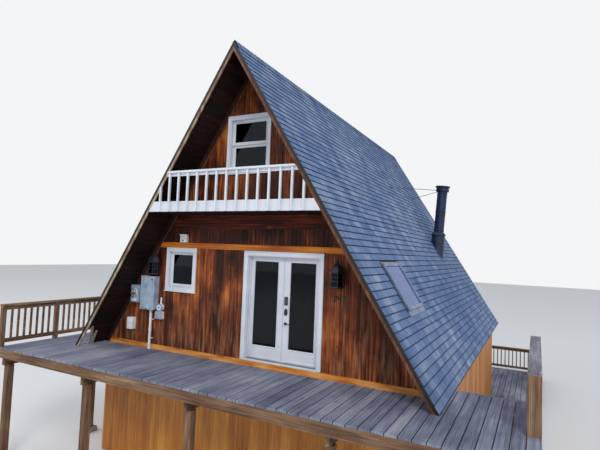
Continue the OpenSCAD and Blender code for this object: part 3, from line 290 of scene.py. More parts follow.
def shingleFinish(name, look):
    # asphalt three-tab shingles: value = weighed sum of mineral grit, runs of lost grit down the slope,
    # strengthened as painted sun streaks, broad patches and the tab's tone, coloured by a ramp whose blue
    # is partly painted sky-lit shade; a painted shadow darkens each tab at its butt and a little at its
    # head
    material, shader = newMaterial(name)
    tree = material.node_tree
    place = addNode(material, "ShaderNodeTexCoord").outputs["Object"]
    tone = addNode(material, "ShaderNodeAttribute", {"attribute_name": "tabTone"}).outputs["Fac"]
    height = addNode(material, "ShaderNodeAttribute", {"attribute_name": "upTab"}).outputs["Fac"]
    grit = addNode(material, "ShaderNodeTexNoise", {"Scale": 1000 / look["gritMm"], "Detail": 2.0},
                   {"Vector": place}).outputs["Fac"]
    runs = addNode(material, "ShaderNodeMapping", {"Scale": grainScale("y", *look["runMm"])},
                   {"Vector": place})
    lostGritAndSunStreaks = addNode(material, "ShaderNodeTexNoise", {"Scale": 1.0, "Detail": 5.0, "Roughness": 0.6},
                     {"Vector": runs.outputs[0]}).outputs["Fac"]
    broad = addNode(material, "ShaderNodeTexNoise",
                    {"Scale": 1000 / look["broadMm"], "Detail": 2.0},
                    {"Vector": place}).outputs["Fac"]
    shares = look["shares"]
    trio = addNode(material, "ShaderNodeCombineXYZ", links={"X": grit, "Y": lostGritAndSunStreaks, "Z": broad})
    summed = addNode(material, "ShaderNodeVectorMath", {"operation": "DOT_PRODUCT", 1: shares},
                     {0: trio.outputs[0]})
    toned = addNode(material, "ShaderNodeMath", {"operation": "MULTIPLY_ADD", 1: look["tabs"]},
                    {0: tone, 2: summed.outputs["Value"]})
    value = addNode(material, "ShaderNodeMath", {"operation": "ADD", "use_clamp": True,
                                                 1: 0.5 - 0.5 * sum(shares)}, {0: toned.outputs[0]})
    colour = addNode(material, "ShaderNodeValToRGB", {"stops": look["stops"]},
                     {"Fac": value.outputs[0]})
    # painted shadow along the butts, multiplied over the colour
    edge = addNode(material, "ShaderNodeValToRGB", {"stops": look["edge"]}, {"Fac": height})
    shaded = addNode(material, "ShaderNodeMix", {"data_type": "RGBA", "blend_type": "MULTIPLY", 0: 1.0},
                     {6: colour.outputs["Color"], 7: edge.outputs["Color"]})
    tree.links.new(shaded.outputs[2], shader.inputs["Base Color"])
    shader.inputs["Roughness"].default_value = look["rough"]
    shader.inputs["Specular IOR Level"].default_value = 0.25
    bump = addNode(material, "ShaderNodeBump", {"Strength": look["bump"], "Distance": 0.002},
                   {"Height": grit})
    tree.links.new(bump.outputs["Normal"], shader.inputs["Normal"])
    return material


# what all paints have alike; the runs' pattern in mm, across and down
paintSet = {"runMm": (60, 360), "runEdge": 0.14, "duller": 0.08, "glossier": 0.04}


def paintFinish(name, look):
    # brushed or sprayed paint: an almost even colour, faint grime, light orange-peel in the gloss,
    # and rust or dirt in runs where a second noise is high
    material, shader = newMaterial(name)
    tree = material.node_tree
    place = addNode(material, "ShaderNodeTexCoord").outputs["Object"]
    grime = addNode(material, "ShaderNodeTexNoise",
                    {"Scale": 1000 / look["grimeMm"], "Detail": 4.0, "Roughness": 0.6},
                    {"Vector": place}).outputs["Fac"]
    colour = addNode(material, "ShaderNodeValToRGB", {"stops": look["stops"]},
                     {"Fac": grime}).outputs["Color"]
    if "runs" in look:
        runs = look["runs"]
        drawn = addNode(material, "ShaderNodeMapping", {"Scale": grainScale("z", *paintSet["runMm"])},
                        {"Vector": place})
        noise = addNode(material, "ShaderNodeTexNoise", {"Scale": 1.0, "Detail": 4.0},
                        {"Vector": drawn.outputs[0]})
        amount = addNode(material, "ShaderNodeMapRange",
                         {"From Min": runs["from"], "From Max": runs["from"] + paintSet["runEdge"],
                          "To Max": runs["share"]}, {"Value": noise.outputs["Fac"]})
        colour = addNode(material, "ShaderNodeMix", {"data_type": "RGBA", 7: linear(runs["colour"])},
                         {0: amount.outputs[0], 6: colour}).outputs[2]
    tree.links.new(colour, shader.inputs["Base Color"])
    rough = addNode(material, "ShaderNodeMapRange",
                    {"From Min": 0.3, "From Max": 0.7, "To Min": look["rough"] + paintSet["duller"],
                     "To Max": look["rough"] - paintSet["glossier"]}, {"Value": grime})
    tree.links.new(rough.outputs[0], shader.inputs["Roughness"])
    shader.inputs["Metallic"].default_value = look.get("metal", 0.0)
    peel = addNode(material, "ShaderNodeTexNoise", {"Scale": 1000 / look["peelMm"], "Detail": 2.0},
                   {"Vector": place})
    bump = addNode(material, "ShaderNodeBump", {"Strength": look["bump"], "Distance": 0.001},
                   {"Height": peel.outputs["Fac"]})
    tree.links.new(bump.outputs["Normal"], shader.inputs["Normal"])
    return material


# roof shingles: real grit is 1 to 2 mm; drawn at 9 mm so that it shows at this distance
shingles = shingleFinish("asphalt shingles with blue-grey grit", {
    "gritMm": 9, "runMm": (2600, 380), "broadMm": 2222, "shares": (0.60, 0.75, 0.45), "tabs": 0.20,
    "rough": 0.84, "bump": 0.5,
    # the ramp runs from painted blue shade up to pale painted sunlight on the runs
    "stops": [(0.16, "#40577e"), (0.42, "#5a729a"), (0.58, "#7186aa"), (0.74, "#92a0b7"),
              (0.92, "#c1c6cf")],
    # edge: painted shadow at each tab's butt (upTab 0) and a little at its head (upTab 1)
    "edge": [(0.0, "#20242e"), (0.05, "#434b5c"), (0.12, "#e4e8f0"), (0.20, "#ffffff"),
             (0.90, "#ffffff"), (1.0, "#b4bac6")]})
# exterior gloss on wood trim: cool white, brush marks too fine to see, a little dirt in runs
whitePaint = paintFinish("white exterior gloss", {
    "grimeMm": 700, "stops": [(0.30, "#c5cad4"), (0.60, "#d8dce4")], "rough": 0.40,
    "peelMm": 14, "bump": 0.12, "runs": {"colour": "#a19b94", "from": 0.64, "share": 0.35}})
# stove enamel: flat heat-proof black with a blue sheen
stoveBlack = paintFinish("heat-proof stove enamel", {
    "grimeMm": 180, "stops": [(0.30, "#0a1428"), (0.70, "#172e55")], "rough": 0.44,
    "peelMm": 9, "bump": 0.2, "metal": 0.2})
# plate, boot and collar round the pipe: the same enamel with rust washed down it
bootMetal = paintFinish("enamelled flashing with rust runs", {
    "grimeMm": 200, "stops": [(0.30, "#101a2a"), (0.70, "#20324e")], "rough": 0.5,
    "peelMm": 9, "bump": 0.25, "metal": 0.2,
    "runs": {"colour": "#7d6a5c", "from": 0.62, "share": 0.7}})
# folded steel drip edge in dark brown
edgeMetal = paintFinish("dark brown coated roof metal", {
    "grimeMm": 220, "stops": [(0.30, "#120e0d"), (0.70, "#241c1a")], "rough": 0.5,
    "peelMm": 12, "bump": 0.1, "metal": 0.2})
# skylight cladding: coated aluminium in a pale blue-grey
claddingMetal = paintFinish("blue-grey coated aluminium", {
    "grimeMm": 160, "stops": [(0.30, "#5c6e90"), (0.70, "#8496b4")], "rough": 0.42,
    "peelMm": 10, "bump": 0.1, "metal": 0.3})
# powder-coated steel housings in pale blue-grey
panelPaint = paintFinish("grey powder-coated steel", {
    "grimeMm": 240, "stops": [(0.30, "#8599b2"), (0.70, "#c2d3e4")], "rough": 0.5,
    "peelMm": 8, "bump": 0.15, "metal": 0.15,
    "runs": {"colour": "#63748a", "from": 0.58, "share": 0.6}})
# meter and switch housings: sprayed light grey, a little duller than the panel
meterPaint = paintFinish("light grey meter housing", {
    "grimeMm": 160, "stops": [(0.30, "#7c8ea6"), (0.70, "#acb9c9")], "rough": 0.45,
    "peelMm": 8, "bump": 0.15, "metal": 0.15})
# conduit and small boxes: smooth moulded plastic, with grime in runs
whitePlastic = paintFinish("white moulded PVC", {
    "grimeMm": 200, "stops": [(0.30, "#cfd1d4"), (0.60, "#eaebec")], "rough": 0.5,
    "peelMm": 10, "bump": 0.1, "runs": {"colour": "#8d8880", "from": 0.62, "share": 0.4}})
# lanterns, levers and digits: satin black that shows only broad highlights
castBlack = paintFinish("satin black cast metal", {
    "grimeMm": 120, "stops": [(0.30, "#0a0d14"), (0.70, "#171d2a")], "rough": 0.55,
    "peelMm": 7, "bump": 0.25})
# nails, screws, bolts and post shoes: dull zinc with a soft sheen
steelGrey = paintFinish("galvanised steel", {
    "grimeMm": 60, "stops": [(0.30, "#5f6468"), (0.70, "#8b9094")], "rough": 0.45,
    "peelMm": 8, "bump": 0.1, "metal": 0.7})
# dial and cover plates: even, bright enamel
dialWhite = paintFinish("enamelled dial plate", {
    "grimeMm": 80, "stops": [(0.30, "#c8cac8"), (0.70, "#dfe0de")], "rough": 0.4,
    "peelMm": 10, "bump": 0.05})
# slab and pads: rough, mottled grey without a sheen
castConcrete = paintFinish("cast concrete", {
    "grimeMm": 350, "stops": [(0.30, "#77746f"), (0.70, "#a19d96")], "rough": 0.88,
    "peelMm": 18, "bump": 0.6})


def glassFinish(name, tint, rough, sheen="#ffffff", clear=1.0, index=1.5):
    # float glass: clear with the body tint of a thick pane; sheen tints what its face mirrors, and clear
    # is the share let through, the rest showing the tint as flat colour; on the skylight that is a painted
    # reflection
    material, shader = newMaterial(name)
    shader.inputs["Base Color"].default_value = linear(tint)
    shader.inputs["Roughness"].default_value = rough
    shader.inputs["IOR"].default_value = index
    shader.inputs["Transmission Weight"].default_value = clear
    shader.inputs["Specular Tint"].default_value = linear(sheen)
    return material


# panes mirror the sky and show a dark room behind
windowGlass = glassFinish("window float glass", "#5f6d70", 0.0, "#a9b3bb")
# skylight: flat blue colour and a blue-tinted mirror, a painted reflection of the sky
skyReflectionGlass = glassFinish("skylight glass with a painted blue sky reflection", "#4f72bd", 0.10, "#7f9fe8", 0.45, 1.3)
lanternGlass = glassFinish("smoked lantern glass", "#3c444c", 0.12, "#8d97a3")
clearGlass = glassFinish("clear meter glass", "#e4eaea", 0.02)
print("finishes made")


# meshes

def addObject(name, data):
    # puts a mesh, lamp or camera in the scene as an object
    made = bpy.data.objects.new(name, data)
    bpy.context.scene.collection.objects.link(made)
    return made


def facesOut(points, faces):
    # six times a closed mesh's volume = sum of p0 . (p1 x p2) over its triangles; if negative, turn it
    total = 0.0
    for size in sorted({len(f) for f in faces}):
        ring = points[np.array([f for f in faces if len(f) == size])]
        for k in range(1, size - 1):
            total += np.sum(ring[:, 0] * np.cross(ring[:, k], ring[:, k + 1]))
    return faces if total > 0 else [f[::-1] for f in faces]


def makePiece(name, parts, material, body=rideHouse, smooth=False, ease=0.0):
    # one mesh object from closed parts, each a pair of points and faces
    points, faces, start = [], [], 0
    for partPoints, partFaces in parts:
        middle = partPoints.mean(axis=0)
        points.append(partPoints)
        faces += [[i + start for i in f] for f in facesOut(partPoints - middle, partFaces)]
        start += len(partPoints)
    mesh = bpy.data.meshes.new(name)
    mesh.from_pydata(np.concatenate(points).tolist(), [], faces)
    if smooth:
        mesh.polygons.foreach_set("use_smooth", [True] * len(mesh.polygons))
        mesh.set_sharp_from_angle(angle=math.radians(38))
    mesh.materials.append(material)
    piece = addObject(name, mesh)
    if ease:
        bevel = piece.modifiers.new("eased edges", "BEVEL")
        bevel.width = ease
        bevel.segments = 2
        bevel.limit_method = "ANGLE"
    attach(piece, body)
    return piece


def boxPart(x0, x1, y0, y1, z0, z1):
    # the eight corners of a box and its six faces
    corners = np.array([(x, y, z) for x in (x0, x1) for y in (y0, y1) for z in (z0, z1)])
    return corners, [[0, 1, 3, 2], [4, 6, 7, 5], [0, 4, 5, 1], [2, 3, 7, 6], [0, 2, 6, 4],
                     [1, 5, 7, 3]]


def ringFaces(rings, size, closed=False):
    # four-sided faces between rings of size points, ring j joined to ring j + 1, the last to the first
    k = np.arange(size)
    after = (k + 1) % size
    low = np.arange(rings if closed else rings - 1)[:, None] * size
    high = (low + size) % (rings * size)
    return np.stack([low + k, low + after, high + after, high + k], -1).reshape(-1, 4).tolist()


def endFaces(rings, size):
    # the first ring turned round and the last one as it is: they close a row of rings
    return [list(range(size))[::-1], list(range((rings - 1) * size, rings * size))]


def turned(profile, sides):
    # a profile (radius, height) turned about Z: p = (r cos a, r sin a, h). With radius 0 at both ends
    # it closes in poles, otherwise the profile is a closed loop and makes a hoop
    radius, height = np.array(profile, float).T
    ends = height[[0, -1]]
    hoop = radius[0] > 0
    if not hoop:
        radius, height = radius[1:-1], height[1:-1]
    angle = np.arange(sides) * 2 * math.pi / sides
    points = np.stack([radius[:, None] * np.cos(angle), radius[:, None] * np.sin(angle),
                       np.repeat(height[:, None], sides, 1)], -1).reshape(-1, 3)
    faces = ringFaces(len(radius), sides, hoop)
    if not hoop:
        k = np.arange(sides)
        after = (k + 1) % sides
        foot = len(points)
        last = foot - sides
        points = np.concatenate([points, [(0, 0, ends[0]), (0, 0, ends[1])]])
        faces += np.stack([np.full(sides, foot), after, k], 1).tolist()
        faces += np.stack([np.full(sides, foot + 1), last + k, last + after], 1).tolist()
    return points, faces


def tube(path, radius, sides=10):
    # round bar along a path: each ring = point + r (cos a * across + sin a * over)
    path = np.array(path, float)
    along = np.gradient(path, axis=0)
    along /= np.linalg.norm(along, axis=1)[:, None]
    aside = (0.31, 0.12, 0.94)  # no bar here runs this way, so the cross product never vanishes
    across = np.cross(along, aside)
    across /= np.linalg.norm(across, axis=1)[:, None]
    over = np.cross(along, across)
    radius = np.broadcast_to(np.array(radius, float), len(path))[:, None, None]
    angle = np.arange(sides) * 2 * math.pi / sides
    turn = np.stack([np.cos(angle), np.sin(angle)])[:, None, :, None]
    rings = path[:, None] + radius * (turn[0] * across[:, None] + turn[1] * over[:, None])
    return rings.reshape(-1, 3), ringFaces(len(path), sides) + endFaces(len(path), sides)


def plate(width, height, depth, corner, ease, steps=5):
    # a plate with rounded corners standing out along Z: the outline drawn at each depth and inset,
    # the front edge eased over the last of it
    levels = [(0.0, 0.0), (0.0, depth - ease), (ease * 0.3, depth - ease * 0.3), (ease, depth)]
    arc = np.linspace(0, math.pi / 2, steps + 1)
    turns = np.concatenate([arc + q * math.pi / 2 for q in range(4)])
    signs = np.repeat([(1, 1), (-1, 1), (-1, -1), (1, -1)], steps + 1, axis=0)
    centres = signs * (width / 2 - corner, height / 2 - corner)
    rings = []
    for inward, out in levels:
        reach = max(corner - inward, 0.0005)
        shift = np.minimum(corner - inward, 0.0)
        flat = centres + signs * shift + reach * np.stack([np.cos(turns), np.sin(turns)], 1)
        rings.append(np.concatenate([flat, np.full((len(flat), 1), out)], 1))
    size = len(rings[0])
    return np.concatenate(rings), ringFaces(len(levels), size) + endFaces(len(levels), size)


def placed(part, origin, axis=(0, -1, 0)):
    # turns a part's Z to the given axis and moves it to origin; on a wall its Y points up
    z = np.array(axis, float) / np.linalg.norm(axis)
    x = np.array((1.0, 0, 0)) if abs(z[1]) > 0.9 else np.cross((0, 1, 0), z)
    x = x / np.linalg.norm(x)
    return part[0] @ np.stack([x, np.cross(z, x), z]) + np.array(origin, float), part[1]


def turnedAt(profile, sides, origin, axis=(0, -1, 0)):
    # a turned profile with its foot at origin, standing out along the axis
    return placed(turned(profile, sides), origin, axis)


def copies(part, places):
    # one part at many places, all turned the same way
    return [(part[0] + np.array(p), part[1]) for p in places]


def mould(area, profile, wallY, outward):
    # a moulding carried round a rectangle: corner k moves in by the profile's inset on both axes
    x0, x1, z0, z1 = area
    inward, out = np.array(profile, float).T
    xs = np.stack([x0 + inward, x1 - inward, x1 - inward, x0 + inward])
    zs = np.stack([z0 + inward, z0 + inward, z1 - inward, z1 - inward])
    points = np.stack([xs, np.broadcast_to(wallY + outward * out, xs.shape), zs], -1).reshape(-1, 3)
    return points, ringFaces(4, len(inward), closed=True)


def barFaces(count, sides):
    # faces of count bars, each a closed prism of sides corners at its first and its last end
    ring = np.arange(sides)
    after = (ring + 1) % sides
    walls = np.stack([ring, after, after + sides, ring + sides], 1)
    start = np.arange(count)[:, None, None] * 2 * sides
    wallFaces = (walls[None] + start).reshape(-1, 4).tolist()
    caps = np.stack([ring[::-1], ring + sides])
    return wallFaces + (caps[None] + start).reshape(-1, sides).tolist()


def barEnds(axes, across, out, first, last):
    # array [bar, end, corner, xyz] of level or upright bars: their outlines (across, out) and where
    # they start and stop; axes names the axis of across, of out and of the bar's length
    ends = np.empty((len(across), 2, across.shape[1], 3))
    acrossAxis, outAxis, longAxis = ("xyz".index(axis) for axis in axes)
    ends[..., acrossAxis] = across[:, None]
    ends[..., outAxis] = out[:, None]
    ends[:, 0, :, longAxis] = first
    ends[:, 1, :, longAxis] = last
    return ends


def makeBars(name, ends, material, tones=None, toneName="boardTone", values=None):
    # bars from an array [bar, end, corner, xyz]: each bar joins its first outline to its last.
    # They face outwards where the outlines' area, sum of p(k) x p(k + 1), points along the bars, and
    # where it points back the two ends change places
    first, last = ends[:, 0], ends[:, 1]
    area = np.cross(first - first[:, :1], np.roll(first, -1, axis=1) - first[:, :1]).sum(axis=1)
    if np.sum(area * (last - first).mean(axis=1)) < 0:
        ends = ends[:, ::-1]
    count, sides = len(ends), ends.shape[2]
    mesh = bpy.data.meshes.new(name)
    mesh.from_pydata(ends.reshape(-1, 3).tolist(), [], barFaces(count, sides))
    tones = drawTones(count) if tones is None else tones
    layers = {toneName: np.repeat(tones, 2 * sides), **(values or {})}
    for key, amounts in layers.items():
        layer = mesh.attributes.new(key, "FLOAT", "POINT")
        layer.data.foreach_set("value", np.asarray(amounts, np.float32).ravel())
    mesh.materials.append(material)
    piece = addObject(name, mesh)
    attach(piece, rideHouse)
    return piece


def drawTones(count):
    # how dark or light each board is: evenly spread round 0
    return rng.uniform(-0.5, 0.5, count)


def boardOutline(x0, x1, face, back, chamfer):
    # corners (across, out) of boards from x0 to x1: square backs, front edges cut at 45 degrees
    low = np.full_like(x0, back)
    top = np.full_like(x0, face)
    cut = top - np.sign(face - back) * chamfer
    across = np.stack([x0, x0, x0 + chamfer, x1 - chamfer, x1, x1], 1)
    out = np.stack([low, cut, top, top, cut, low], 1)
    return across, out


def spans(z0, z1, cuts):
    # what is left of the span z0 to z1 once the spans in cuts are taken out
    left = [(z0, z1)]
    for c0, c1 in cuts:
        left = [part for a, b in left for part in ((a, min(b, c0)), (max(a, c1), b))
                if part[1] - part[0] > leastLength]
    return left


roofGap = 0.002  # between the boards' ends and the roof's underside
leastWidth, leastLength = 0.010, 0.004  # narrower or shorter boards are left out
toneCount = 400


def uprightBoards(name, look, lowZ, highZ, holes, faceY, outward, material, clip=None):
    # vertical boards on a gable wall between two heights, cut by the roof's line and round openings
    width, gap = look["width"], look["gap"]
    reach = clip or innerHalf(lowZ)
    edges = np.arange(math.floor(-reach / width), math.ceil(reach / width) + 1) * width
    rows = []
    for i in range(len(edges) - 1):
        a, b = max(edges[i] + gap / 2, -reach), min(edges[i + 1] - gap / 2, reach)
        if b - a < leastWidth:
            continue
        marks = sorted({a, b, *(x for h in holes for x in (h[0], h[1]) if a < x < b),
                        *([0.0] if a < 0 < b else [])})
        for x0, x1 in zip(marks[:-1], marks[1:]):
            cuts = [(h[2], h[3]) for h in holes if h[0] < (x0 + x1) / 2 < h[1]]
            rows += [(x0, x1, z0, z1, i) for z0, z1 in spans(lowZ, highZ, cuts)]
    x0, x1, z0, z1, number = np.array(rows).T
    across, out = boardOutline(x0, x1, faceY + outward * look["proud"], faceY, look["chamfer"])
    ends = barEnds("xyz", across, out, z0[:, None], z1[:, None])
    if clip is None:
        roof = roofHeight(across, skin + roofGap)
        ends[:, 1, :, 2] = np.maximum(np.minimum(ends[:, 1, :, 2], roof), z0[:, None])
    # the lengths of one board above and below an opening share its tone, picked by its number
    tones = drawTones(toneCount)[(number.astype(int) * 7 + int(lowZ * 10)) % toneCount]
    return makeBars(name, ends, material, tones)


def levelBoards(name, look, heights, faceY, outward, material):
    # level boards across a gable wall, each ending on the roof's line
    low, high = np.array(heights).T
    across, out = boardOutline(low + look["gap"] / 2, high - look["gap"] / 2,
                               faceY + outward * look["proud"], faceY, look["chamfer"])
    half = innerHalf(across, skin + roofGap)
    return makeBars(name, barEnds("zyx", across, out, half, -half), material)


# front wall

boardSet = {"width": 0.192, "gap": 0.005, "proud": 0.008, "chamfer": 0.004}
upperSet = dict(boardSet, width=0.096)
lowerSet = {"width": 0.240, "gap": 0.005, "proud": 0.006, "chamfer": 0.004}
headerBoard = 0.118  # height of the level boards under the balcony
bandTall = 0.118  # the orange band over the door
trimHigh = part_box("wall_trim")[1]
trimFoot = deckTop + 0.108
bandLow, bandHigh = trimHigh.z - bandTall, trimHigh.z
headerLow = deckTop + 2.748
headerTop = deckTop + 3.050
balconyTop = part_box("balcony_floor")[1].z
gableTop = ridgeTop - 0.13  # boards stop here, behind the frieze boards
floorLow, floorHigh = (corner.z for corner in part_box("main_floor"))
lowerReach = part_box("lower_wall_right")[1].x
lowerFoot = 0.02

# openings as (left, right, foot, head)
doorLow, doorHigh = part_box("door_frame")
casingWidth, casingOut = 0.090, 0.024
casingHide = 0.04  # how far boards run in behind a casing
doorHole = (doorLow.x + casingHide, doorHigh.x - casingHide, 0.0, doorHigh.z - casingHide)
mainSill, mainHead = deckTop + 1.358, deckTop + 2.308
loftSill, loftHead = deckTop + 3.930, deckTop + 5.158
lowSill, lowHead = deckTop - 1.450, deckTop - 0.500
frontWindows = [(-2.145, -1.300, mainSill, mainHead), (-0.600, 0.470, loftSill, loftHead)]
rearWindows = [(-2.000, -1.155, mainSill, mainHead), (1.155, 2.000, mainSill, mainHead),
               (-0.535, 0.535, loftSill, loftHead)]
lowerWindows = [(-2.400, -1.555, lowSill, lowHead), (1.555, 2.400, lowSill, lowHead)]


def inset(hole):
    # the opening that boards are cut to: they run in behind the casing on all four sides
    return (hole[0] + casingHide, hole[1] - casingHide, hole[2] + casingHide, hole[3] - casingHide)


uprightBoards("frontBoards", boardSet, trimFoot, bandLow, [doorHole, inset(frontWindows[0])],
              frontWall, -1, siding)
uprightBoards("frontUpperBoards", upperSet, bandHigh, headerLow, [], frontWall, -1, upperSiding)
headerEdges = [headerLow, headerLow + headerBoard, headerLow + 2 * headerBoard, headerTop]
levelBoards("frontHeaderBoards", boardSet, list(zip(headerEdges[:-1], headerEdges[1:])),
            frontWall, -1, levelSiding)
uprightBoards("gableBoards", boardSet, balconyTop, gableTop, [inset(frontWindows[1])],
              frontWall, -1, gableSiding)
uprightBoards("rearBoards", boardSet, floorHigh, gableTop, [inset(h) for h in rearWindows],
              rearWall, 1, siding)
uprightBoards("lowerRearBoards", lowerSet, lowerFoot, floorLow, [inset(h) for h in lowerWindows],
              rearWall, 1, honeyWood, clip=lowerReach)
uprightBoards("lowerFrontBoards", lowerSet, lowerFoot, floorLow, [], frontWall, -1, honeyWood,
              clip=lowerReach)


def sideBoards(name, side, topZ):
    # vertical boards along a lower side wall, standing out of its face
    count = int((rearWall - frontWall) / lowerSet["width"])
    step = (rearWall - frontWall) / count
    y0 = frontWall + np.arange(count) * step + lowerSet["gap"] / 2
    across, out = boardOutline(y0, y0 + step - lowerSet["gap"], side * (lowerReach + lowerSet["proud"]),
                               side * lowerReach, lowerSet["chamfer"])
    return makeBars(name, barEnds("yxz", across, out, lowerFoot, topZ), honeyWood)


nailSet = {"side": 0.035, "fromRoof": 0.030, "fromHole": 0.050, "stray": 0.008, "sink": 0.0005,
           "apart": 0.55, "belowRidge": 0.80,
           "head": [(0, -0.001), (0.0045, -0.001), (0.0045, 0.0008), (0, 0.0016)]}


def boardNails(name, look, wallY, outward, rows, holes, clip=None):
    # two nail heads to a board at each row, left out round openings and past the roof's line
    width, side, clear = look["width"], nailSet["side"], nailSet["fromHole"]
    faceY = wallY + outward * (look["proud"] - nailSet["sink"])
    heights = np.arange(*rows)
    reach = clip or innerHalf(heights[0])
    edges = np.arange(math.floor(-reach / width), math.ceil(reach / width)) * width
    places = []
    for z in heights:
        limit = (clip or innerHalf(z)) - nailSet["fromRoof"]
        for x in np.concatenate([edges + side, edges + width - side]):
            hidden = any(h[0] - clear < x < h[1] + clear and h[2] - clear < z < h[3] + clear
                         for h in holes)
            if abs(x) < limit and not hidden:
                places.append((x, faceY, z))
    places = np.array(places)
    places[:, 2] += rng.uniform(-nailSet["stray"], nailSet["stray"], len(places))
    head = turnedAt(nailSet["head"], 7, (0, 0, 0), (0, outward, 0))
    makePiece(name, copies(head, places), steelGrey)


# rows of nails as (first, last, apart)
frontHoles = [doorHole, *frontWindows]
apart, lastRow = nailSet["apart"], ridgeTop - nailSet["belowRidge"]
boardNails("frontWallNails", boardSet, frontWall, -1, (deckTop + 0.30, bandLow, apart), frontHoles)
boardNails("gableNails", boardSet, frontWall, -1, (balconyTop + 0.20, lastRow, apart), frontHoles)
boardNails("rearWallNails", boardSet, rearWall, 1, (deckTop + 0.30, lastRow, apart), rearWindows)
boardNails("lowerRearNails", lowerSet, rearWall, 1, (0.30, floorLow, 0.60), lowerWindows,
           clip=lowerReach)

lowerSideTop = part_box("eave_boards")[0].z
sideBoards("lowerRightBoards", 1, lowerSideTop)
sideBoards("lowerLeftBoards", -1, lowerSideTop)
print("wall boards made")


# boards and a thin strip where the gable walls meet the soffits

def joinBoards(name, wallY, outward, levels, look, material):
    # a board along the roof's line: its edges lie look["from"] and look["to"] below the roof's top
    rows = []
    for z0, z1 in levels:
        for side in (-1, 1):
            near = [(innerHalf(z, look["from"]), z) for z in (z0, z1)]
            far = [(innerHalf(z, look["to"]), z) for z in (z1, z0)]
            rows.append([(side * max(x, 0.0), z) for x, z in near + far][::side])
    outline = np.array(rows)
    ends = barEnds("xzy", outline[..., 0], outline[..., 1], wallY + outward * look["proud"], wallY)
    return makeBars(name, ends, material)


frieze = {"from": skin + 0.001, "to": skin + 0.112, "proud": 0.026}
strip = {"from": skin + 0.112, "to": skin + 0.130, "proud": 0.032}
drip = {"from": 0.028, "to": 0.047, "proud": 0.006}  # folded metal over the top of the rake boards
rakeOut = 0.0225  # the rake boards' faces stand this far out of the roof's ends
gableEnd = ridgeTop - (skin + 0.125) / math.cos(roofAngle)  # where both boards meet under the ridge
frontLevels = [(deckTop + 0.004, headerTop - 0.002), (balconyTop, gableEnd)]
rearLevels = [(floorHigh, gableEnd)]
dripLevels = [(deckTop + 0.006, ridgeTop - drip["to"] / math.cos(roofAngle))]
for word, wallY, rakeY, outward, levels in (
        ("front", frontWall, frontRake - rakeOut, -1, frontLevels),
        ("rear", rearWall, rearRake + rakeOut, 1, rearLevels)):
    joinBoards(word + "Frieze", wallY, outward, levels, frieze, joinWood)
    joinBoards(word + "FriezeStrip", wallY, outward, levels, strip, stripWood)
    joinBoards(word + "DripFold", rakeY, outward, dripLevels, drip, edgeMetal)


# roof

def slopePoint(side, up, y, out):
    # a point by its way up the slope from the eave, its place along the roof and how far it stands out
    c, s = math.cos(roofAngle), math.sin(roofAngle)
    x = side * (halfWidth - up * c + out * s)
    return np.stack(np.broadcast_arrays(x, y, deckTop + up * s + out * c), -1)


def slopeBox(side, up0, up1, y0, y1, out0, out1):
    # a box lying on the slope: boxPart's corners, taken as up, along and out
    corners, faces = boxPart(up0, up1, y0, y1, out0, out1)
    return slopePoint(side, corners[:, 0], corners[:, 1], corners[:, 2]), faces


# the corner that has rotted away at the foot of the left slope: (up the slope, back from the rake)
missing = np.array([(-0.60, 0.330), (0.180, 0.330), (0.300, 0.238), (0.558, 0.099), (0.600, 0.0)])


def missingBack(up):
    # how far the broken corner runs back from the rake at a distance up the slope
    return np.interp(up, missing[:, 0], missing[:, 1])


# exposure, tab and slot as on a three-tab strip; the others are heights, laps and irregularities
shingleSet = {"exposure": 0.143, "tab": 0.305, "slot": 0.006, "butt": 0.010, "head": 0.001,
              "stagger": 0.1525, "under": -0.002, "lap": 0.004, "wobble": 0.003, "ragged": 0.025,
              "least": 0.020}
upTabOne = [0.0, 0.0, 1.0, 1.0]  # a tab's four corners in its end outline: 0 at the butt, 1 at the head
skylightLow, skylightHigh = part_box("skylight_frame")
skyNear, skyFar = skylightLow.y, skylightHigh.y
skyUp, skyLength = 1.550, 1.000  # lower edge up the slope from the eave, and length along the slope
skyTop = skyUp + skyLength
skyTuck = 0.02  # how far shingles run in under the skylight's edge
skyHole = (skyUp + skyTuck, skyTop - skyTuck, skyNear + skyTuck, skyFar - skyTuck)


